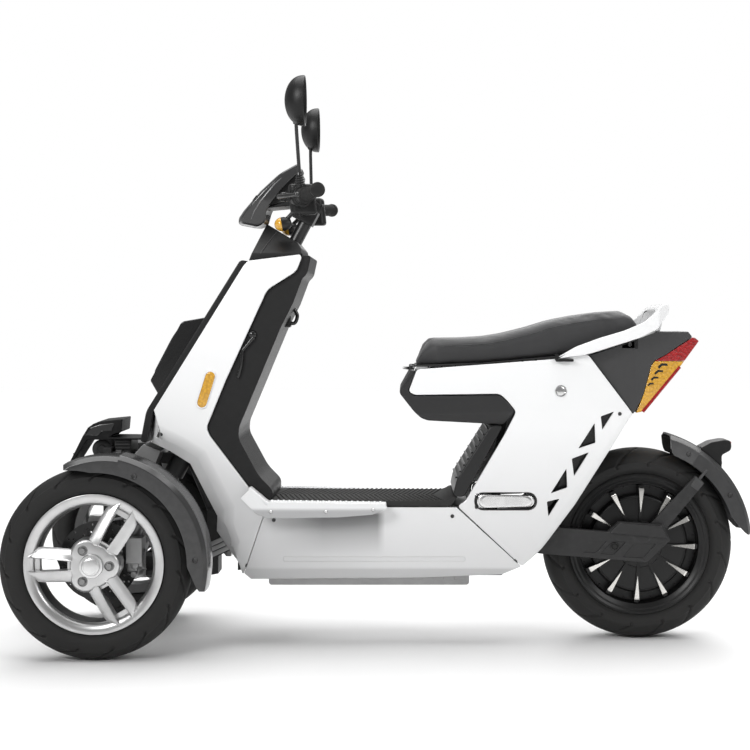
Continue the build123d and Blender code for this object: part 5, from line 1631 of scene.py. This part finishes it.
# The rim's barrel is alloy toned dark as painted shade deep inside the rim.
barrel_shade_steel = steel("rim_barrel", 0.16, 0.34)
disc_steel = steel("brake_disc_steel", 0.05, 0.3)
hub_satin = steel("hub_cap_satin", 0.86, 0.26)
bolt_zinc = steel("wheel_bolt_zinc", 0.32, 0.3)
flange = [
    (0.1505, 0.0215), (0.1555, 0.0305), (0.1695, 0.0315), (0.1725, 0.0345), (0.1722, 0.0375), (0.1685, 0.0388)
]
flange += [(0.16, 0.0375), (0.1525, 0.0345), (0.1475, 0.0295), (0.1445, 0.0235)]
barrel = [
    (0.1445, 0.0235), (0.1425, 0.01), (0.1415, -0.012), (0.1425, -0.028), (0.1455, -0.0365), (0.168, -0.038)
]
barrel += [(0.1712, -0.0345), (0.1695, -0.0315), (0.1555, -0.0305), (0.1505, -0.02), (0.1505, 0.0215)]
blade = [  # out from the hub, the blade's inner and outer edge, its crest, shoulder and back there
    (0.024, 0.006, 0.036, 0.0595, 0.057, 0.03),
    (0.045, 0.009, 0.0395, 0.0592, 0.0525, 0.028),
    (0.07, 0.0115, 0.0415, 0.0555, 0.0465, 0.026),
    (0.1, 0.0138, 0.043, 0.0502, 0.041, 0.022),
    (0.122, 0.015, 0.0438, 0.0462, 0.0365, 0.018),
    (0.136, 0.0155, 0.0425, 0.0438, 0.035, 0.015),
    (0.147, 0.0158, 0.035, 0.0418, 0.0355, 0.014),
    (0.1625, 0.016, 0.0185, 0.0392, 0.0385, 0.033),
]
lobe_reach, bolt_circle, hub_front = 0.0135, 0.0435, 0.0595
hub = [(0.97, -0.012), (1.04, 0.02), (1.03, 0.047), (1.0, 0.0535), (0.955, 0.0572), (0.9, 0.0588)]
hub += [(0.6, hub_front), (0.3, hub_front)]
for name, side in sides:
    body = f"front_wheel_{name}"
    wheel = middle_of(f"front_tyre_{name}")
    out = Vector((0, side, 0))
    rim, inside = bmesh.new(), bmesh.new()
    turned(rim, wheel, out, flange, 120, loop=True)
    turned(inside, wheel, out, barrel, 96, loop=True)
    for spoke in range(3):
        angle = radians(60 + 120 * spoke)
        for edge in (-1, 1):
            rings = []
            for far, near_edge, far_edge, crest, shoulder, back in blade:
                wide = far_edge - near_edge
                ring = [(near_edge, back), (near_edge, crest - 0.004), (near_edge + 0.0008, crest - 0.0008)]
                ring += [
                    (near_edge + min(0.002, wide * 0.3), crest),
                    (near_edge + min(0.0045, wide * 0.5), crest - 0.0022)
                ]
                ring += [
                    (near_edge + 0.5 * wide, crest - 0.35 * (crest - shoulder) - 0.001),
                    (near_edge + 0.85 * wide, shoulder)
                ]
                ring += [
                    (far_edge, shoulder - 0.5 * min(0.008, shoulder - back)), (far_edge - 0.1 * wide, back)
                ]
                rings.append([on_wheel(wheel, side, angle, far, edge * b, h) for b, h in ring])
            skin(rim, rings)
        for first, last, front, back in ((0.024, 0.062, 0.044, 0.03), (0.134, 0.151, 0.026, 0.014)):
            rings = []
            for far in (first, (first + last) / 2, last):
                ring = [(-0.018, back), (-0.018, front), (0.018, front), (0.018, back)]
                rings.append([on_wheel(wheel, side, angle, far, b, h) for b, h in ring])
            skin(rim, rings)
    lobes = []
    for i in range(120):
        angle = tau * i / 120
        near = min(abs((angle - radians(120 * k) + pi) % tau - pi) for k in range(3))
        lobes.append((angle, 0.0545 + lobe_reach * max(0.0, 1 - (near / 0.6) ** 2) ** 0.7))
    rings = []
    for share, height in hub:
        rings.append(
            [wheel + Vector((r * share * cos(a), side * height, r * share * sin(a))) for a, r in lobes]
        )
    skin(rim, rings)
    piece(f"front_rim_casting_{name}", rim, rim_polish, body, [f"front_rim_{name}"], 32)
    piece(f"front_rim_barrel_{name}", inside, barrel_shade_steel, body)

    fixings = bmesh.new()
    for spoke in range(3):
        place = on_wheel(wheel, side, radians(120 * spoke), bolt_circle, 0, hub_front)
        washer = [(0.0125, -0.002), (0.0125, 0.0008), (0.011, 0.0018), (0.0102, 0.0004), (0.0, 0.0004)]
        turned(fixings, place, out, washer, 28)
        bolt = [(0.0086, 0.0), (0.0086, 0.0062), (0.0074, 0.0078), (0.004, 0.008), (0.0, 0.0072)]
        turned(fixings, place, out, bolt, 6)
    piece(f"front_wheel_bolts_{name}", fixings, bolt_zinc, body)
    cap = bmesh.new()
    rim_of_cap = [
        (0.0295, hub_front - 0.002), (0.0295, 0.0655), (0.028, 0.0678), (0.0235, 0.0685), (0.0225, 0.0675),
        (0.0, 0.0675)
    ]
    turned(cap, wheel, out, rim_of_cap, 56)
    dome = [
        (0.0215, 0.067), (0.0215, 0.0712), (0.0205, 0.0732), (0.0175, 0.0745), (0.0168, 0.0738),
        (0.012, 0.0748), (0.0, 0.0752)
    ]
    turned(cap, wheel, out, dome, 48)
    piece(f"front_hub_cap_{name}", cap, hub_satin, body)

    disc = bmesh.new()
    ring = [
        (0.064, -0.027), (0.0985, -0.027), (0.0995, -0.0275), (0.0995, -0.0305), (0.0985, -0.031),
        (0.064, -0.031)
    ]
    turned(disc, wheel, out, ring, 96, loop=True)
    holes = bmesh.new()
    for i in range(24):
        for row, far in enumerate((0.0735, 0.0825, 0.0915)):
            a = tau * (i + row * 0.33) / 24
            if (i + row) % 3:
                hole = [(0, -0.05), (0.0026, -0.05), (0.0026, -0.01), (0, -0.01)]
                turned(holes, wheel + Vector((far * cos(a), 0, far * sin(a))), out, hole, 8)
    disc = carved(disc, holes)
    for spoke in range(5):
        angle = tau * spoke / 5
        rings = []
        for far, half in ((0.02, 0.013), (0.05, 0.008), (0.069, 0.0105)):
            ring = [(-half, -0.0305), (-half, -0.0275), (half, -0.0275), (half, -0.0305)]
            rings.append([on_wheel(wheel, side, angle, far, b, h) for b, h in ring])
        skin(disc, rings)
    turned(disc, wheel, out, [(0.0, -0.031), (0.027, -0.031), (0.027, 0.0), (0.0, 0.0)], 40)
    piece(f"brake_disc_{name}", disc, disc_steel, body)
    node = f"front_tyre_{name}"
    piece(f"front_tyre_rubber_{name}", tyre(node, 15, 0.0315, 0.74), tyre_rubber, body, [node], 50)

# ---- Handlebar ----------------------------------------------------------------------------------
# The steering column ends in a cast clamp that holds a bent steel bar. Rubber grips fill its ends,
# and beside each are a switch housing and a forged brake lever.

column_black = powder_coat("column_coat", 0.01, 0.3)
piece(
    "handlebar_tube", softened("handlebar", 0.001, angle=55), column_black, "steering",
    ["handlebar"], 40
)

grip_rubber = rubber("grip_rubber", 0.01, 0.6)
control_black = moulded("control_plastic", 0.008, 0.36, shine=0.35)
lever_alloy = steel("lever_black", 0.09, 0.3)
grips, housings, levers, buttons = bmesh.new(), bmesh.new(), bmesh.new(), bmesh.new()
for side in (-1, 1):
    bend = Vector((-0.2213, side * 0.19, 1.1443))
    end = Vector((-0.16, side * 0.35, 1.155))
    way, length = (end - bend).normalized(), (end - bend).length
    profile = [(0.0, 0.067), (0.019, 0.067), (0.0215, 0.069), (0.0215, 0.073), (0.0165, 0.0755)]
    for i in range(16):
        at = 0.078 + 0.0056 * i
        profile += [(0.0152, at), (0.0164, at + 0.0012), (0.0164, at + 0.0034), (0.0152, at + 0.0046)]
    profile += [
        (0.0172, length - 0.009), (0.0185, length - 0.006), (0.0185, length - 0.001),
        (0.0172, length + 0.0012)
    ]
    turned(grips, bend, way, profile + [(0.0095, length + 0.0016), (0, length + 0.0016)], 32)
    steps = [
        (0.0, 0.013), (0.0165, 0.013), (0.024, 0.0165), (0.0285, 0.02), (0.029, 0.0235), (0.029, 0.041),
        (0.0275, 0.0437)
    ]
    steps += [
        (0.0262, 0.044), (0.0255, 0.0475), (0.0238, 0.049), (0.0225, 0.0492), (0.0218, 0.0545), (0.02, 0.0565)
    ]
    steps += [(0.02, 0.0625), (0.0185, 0.0665), (0.0, 0.0665)]
    turned(housings, bend, way, steps, 48)
    middle = bend + way * 0.031
    box = bmesh.new()
    inner, outer = sorted((-side * 0.012, side * 0.011))
    block(box, middle + Vector((-0.029, inner, -0.044)), middle + Vector((0.035, outer, 0.034)), 0.009, 4)
    for vert in box.verts:
        off = vert.co - middle
        vert.co.x += off.y * way.x / way.y
        vert.co.x -= 0.10 * off.z
    box_mesh = bpy.data.meshes.new("box")
    box.to_mesh(box_mesh)
    box.free()
    housings.from_mesh(box_mesh)
    bpy.data.meshes.remove(box_mesh)
    for i, size in enumerate((0.0045, 0.0035, 0.0045)):
        place = middle + Vector((0.0325, (i - 1) * 0.0075, 0.012 - 0.013 * i))
        turned(
            buttons, place, (1, 0, 0.1), [(0, 0.0035), (size * 0.8, 0.0032), (size, 0.002), (size, -0.004)],
            16
        )
    perch = bend + way * 0.03
    block(housings, perch + Vector((-0.042, -0.011, -0.01)), perch + Vector((-0.008, 0.011, 0.011)), 0.004, 3)
    line = [(-0.03, 0, 0), (-0.05, 0.012, 0), (-0.052, 0.04, -0.001), (-0.036, 0.078, -0.003)]
    line += [(-0.014, 0.112, -0.004), (-0.001, 0.135, -0.004)]
    curve = smooth_line([perch + Vector((x, side * y, z)) for x, y, z in line], 6)
    tube(levers, curve, [0.0068 - 0.002 * i / len(curve) for i in range(len(curve))], 12)
    pivot = [(0, -0.011), (0.0075, -0.011), (0.0075, 0.011), (0.004, 0.0125), (0, 0.0125)]
    turned(levers, perch + Vector((-0.044, side * 0.005, 0)), (0, 0, 1), pivot, 16)
    ball = [(0.0068 * cos(pi * (i / 8 - 0.5)), 0.0065 * sin(pi * (i / 8 - 0.5))) for i in range(9)]
    turned(levers, curve[-1], (0, 0, 1), ball, 16)
piece("handlebar_grips", grips, grip_rubber, "steering", ["grips"], 30)
piece("switch_housings", housings, control_black, "steering", ["hand_controls"])
piece("brake_levers", levers, lever_alloy, "steering", (), 50)
piece("switch_buttons", buttons, moulded("button_plastic", 0.08, 0.4), "steering")

# ---- Mirrors ------------------------------------------------------------------------------------
# A round mirror stands on a bent steel stem at each side, screwed into the housing through a ribbed
# rubber boot. Its back is a deep black moulded dome, and the glass sits well inside its lip.

mirror_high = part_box("mirrors")[1]
mirror_plastic = moulded("mirror_shell_plastic", 0.006, 0.4, shine=0.3)
mirror_glass = Finish("mirror_glass", metallic=1.0)
haze = mirror_glass.clouds(9)
mirror_glass.set(
    base_color=mirror_glass.mix(haze, (0.8, 0.82, 0.85), (0.86, 0.87, 0.89)), roughness=0.015 + haze * 0.02
)
mirror_glass.bump(mirror_glass.clouds(6, detail=1), 0.0001)
shells, glasses, stems = bmesh.new(), bmesh.new(), bmesh.new()
mirror_radius, mirror_depth, glass_inset = 0.0625, 0.051, 0.0085
for side in (-1, 1):
    face = Vector((mirror_high.x, side * (mirror_high.y - mirror_radius), mirror_high.z - mirror_radius))
    dome = [(0.059, glass_inset), (0.0598, 0.001), (0.061, 0.0), (0.0625, 0.001), (0.0625, 0.004)]
    for i in range(1, 13):
        turn = pi / 2 * i / 12
        dome.append((mirror_radius * cos(turn), 0.004 + (mirror_depth - 0.004) * sin(turn) ** 0.92))
    turned(shells, face, (-1, 0, 0), [(0, glass_inset + 0.002), (0.059, glass_inset + 0.002), *dome], 56)
    glass = [(0, glass_inset - 0.0012), (0.03, glass_inset - 0.001), (0.0588, glass_inset)]
    glass += [(0.0588, glass_inset + 0.0018), (0, glass_inset + 0.0018)]
    turned(glasses, face, (-1, 0, 0), glass, 56)
    boot, knee = Vector((-0.211, side * 0.225, 1.164)), Vector((-0.213, side * 0.232, 1.196))
    neck = Vector((-0.219, side * 0.28, 1.33))
    up = (knee - boot).normalized()
    ribs = [(0.0, -0.004), (0.0115, -0.004), (0.0115, 0.012)]
    for i in range(5):
        groove, crest, at = 0.0105 - 0.0006 * i, 0.0125 - 0.0008 * i, 0.0058 * i
        ribs += [(groove, 0.0135 + at), (crest, 0.0145 + at), (crest, 0.017 + at)]
    turned(stems, boot, up, ribs + [(0.0062, 0.046), (0, 0.046)], 24)
    line = smooth_line(
        [knee, knee.lerp(neck, 0.25), knee.lerp(neck, 0.8), neck, face + Vector((-0.03, 0, -0.02))], 6
    )
    tube(stems, line, 0.0046, 12)
    collar = [(0, -0.014), (0.0075, -0.012), (0.0092, 0.004), (0.009, 0.016), (0, 0.018)]
    turned(shells, neck + Vector((0, 0, 0.006)), (neck - knee).normalized(), collar, 20)
piece("mirror_shells", shells, mirror_plastic, "steering", ["mirrors"], 50)
piece("mirror_glasses", glasses, mirror_glass.material, "steering", (), 50)
piece("mirror_stems", stems, powder_coat("mirror_stem_coat", 0.01, 0.25), "steering")

# ---- Head fairing and dashboard -----------------------------------------------------------------
# A bowed gloss screen fronts the handlebar. On each side a thin moulding runs down its rear edge, toned
# lighter as a painted highlight, and a short black capsule stands for a slot's shade. Behind it the
# dashboard is a black case round a dark glass display.

fairing_gloss = moulded("fairing_gloss", 0.03, 0.13, 250, 0.00001, 0.6)
visor_low, visor_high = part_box("head_fairing")
middle_z = (visor_low.z + visor_high.z) / 2


def slice_up(shape, axis, step):
    """Cuts a shape at every step along an axis, so that it can be bent."""
    way = Vector((0, 0, 0))
    way[axis] = 1
    ends = [v.co[axis] for v in shape.verts]
    for i in range(int(min(ends) / step), int(max(ends) / step) + 1):
        cut(shape, way * i * step, way)


def bowed(shape, wide, bow, narrow):
    """Bows a piece back at its sides and narrows it to its top and bottom."""
    slice_up(shape, 1, 0.011)
    slice_up(shape, 2, 0.02)
    for vert in shape.verts:
        up = (vert.co.z - middle_z) / (visor_high.z - middle_z)
        vert.co.x += bow * (abs(vert.co.y) / wide) ** 2.2
        vert.co.y *= 1 - narrow * (max(0.0, up) ** 2 * 0.5 + max(0.0, -up) ** 2)


shape = copied("head_fairing")
round_corners(shape, 0.012)
round_off(shape, sharp_edges(shape, 50), 0.005, 4)
bowed(shape, 0.078, 0.014, 0.3)
visor = piece("head_fairing_shell", shape, fairing_gloss, "steering", ["head_fairing"], 50)
shape, slot_shades = bmesh.new(), bmesh.new()
visor_edge = [
    (-0.272, 1.209), (-0.29, 1.192), (-0.309, 1.169), (-0.327, 1.147), (-0.343, 1.122), (-0.352, 1.102)
]
for side in (-1, 1):
    line = [on_side(visor, x, z, side)[0] for x, z in visor_edge]
    # The moulding is toned lighter than the shell as a painted highlight.
    tube(shape, line, [0.0008, 0.002, 0.002, 0.002, 0.002, 0.0008], 8)
    # Painted shade: a black capsule on the shell stands for the dark inside of a slot.
    slot = [on_side(visor, -0.342 + x, 1.157 + z, side)[0] for x, z in ((-0.0045, -0.0065), (0.0045, 0.0065))]
    tube(slot_shades, slot, 0.0024, 8)
piece("head_fairing_highlight_mouldings", shape, highlight_paint, "steering")
piece("head_fairing_slot_shades", slot_shades, moulded("slot_shade_black", 0.004, 0.6), "steering")

piece(
    "dashboard_case", softened("dashboard", 0.003, 0.006, 3), cover_plastic, "steering",
    ["dashboard"]
)
display = Finish("display_glass", coat_weight=1.0, coat_roughness=0.02, specular_ior_level=0.6)
smudge = display.clouds(30, detail=5)
display.set(
    base_color=display.mix(smudge, (0.006, 0.007, 0.009), (0.01, 0.011, 0.013)),
    roughness=0.07 + smudge * 0.08
)
display.bump(smudge, 0.00002)
screen_top, screen_foot = Vector((-0.219, 0, 1.222)), Vector((-0.2247, 0, 1.174))
screen_way = (screen_top - screen_foot).normalized()
screen_out = Vector((screen_way.z, 0, -screen_way.x))
edge = rounded([(-0.048, -0.02), (0.048, -0.02), (0.048, 0.02), (-0.048, 0.02)], 0.005)
steps = ((1.0, -0.002), (1.0, 0.001), (0.98, 0.0018), (0.94, 0.0016), (0.9, 0.0019))
shape = sloped_layers(screen_foot.lerp(screen_top, 0.5), screen_way, screen_out, edge, *steps)
piece("dashboard_display", shape, display.material, "steering")

# ---- Front turn lamps ---------------------------------------------------------------------------
# Small amber lamps hang below the bar on dark stalks. Each has a turned black case, and a domed
# lens that is moulded with fine rings.

bodies, lenses = bmesh.new(), bmesh.new()
for side in (-1, 1):
    front, back = Vector((-0.29, side * 0.111, 1.0815)), Vector((-0.262, side * 0.111, 1.0865))
    way = (front - back).normalized()
    case = [
        (0, -0.02), (0.009, -0.0185), (0.0145, -0.012), (0.0178, -0.003), (0.0185, 0.004), (0.0176, 0.0055),
        (0, 0.0055)
    ]
    turned(bodies, back, way, case, 36)
    dome = [(0.0172, 0.004), (0.018, 0.0065)]
    for i in range(1, 11):
        turn = pi / 2 * i / 10
        ridge = 0.0005 if i % 2 else 0.0
        dome.append(((0.0176 + ridge) * cos(turn), 0.0065 + 0.0185 * sin(turn)))
    turned(lenses, back, way, [(0, 0.004), *dome], 36)
    line = smooth_line(
        [(-0.266, side * 0.108, 1.089), (-0.25, side * 0.109, 1.104), (-0.23, side * 0.111, 1.126)], 6
    )
    tube(bodies, line, [0.0062 - 0.0012 * i / len(line) for i in range(len(line))], 14)
piece("turn_lamp_bodies", bodies, control_black, "steering", ["front_indicators"])
piece("front_turn_lenses", lenses, amber_lens, "steering", (), 50)

# ---- Size ---------------------------------------------------------------------------------------
# The CAD model's box and the finished model's box are gathered in metres.

size = {"cad": [list(corner) for corner in cad_box], "visual": [list(corner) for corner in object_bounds()]}
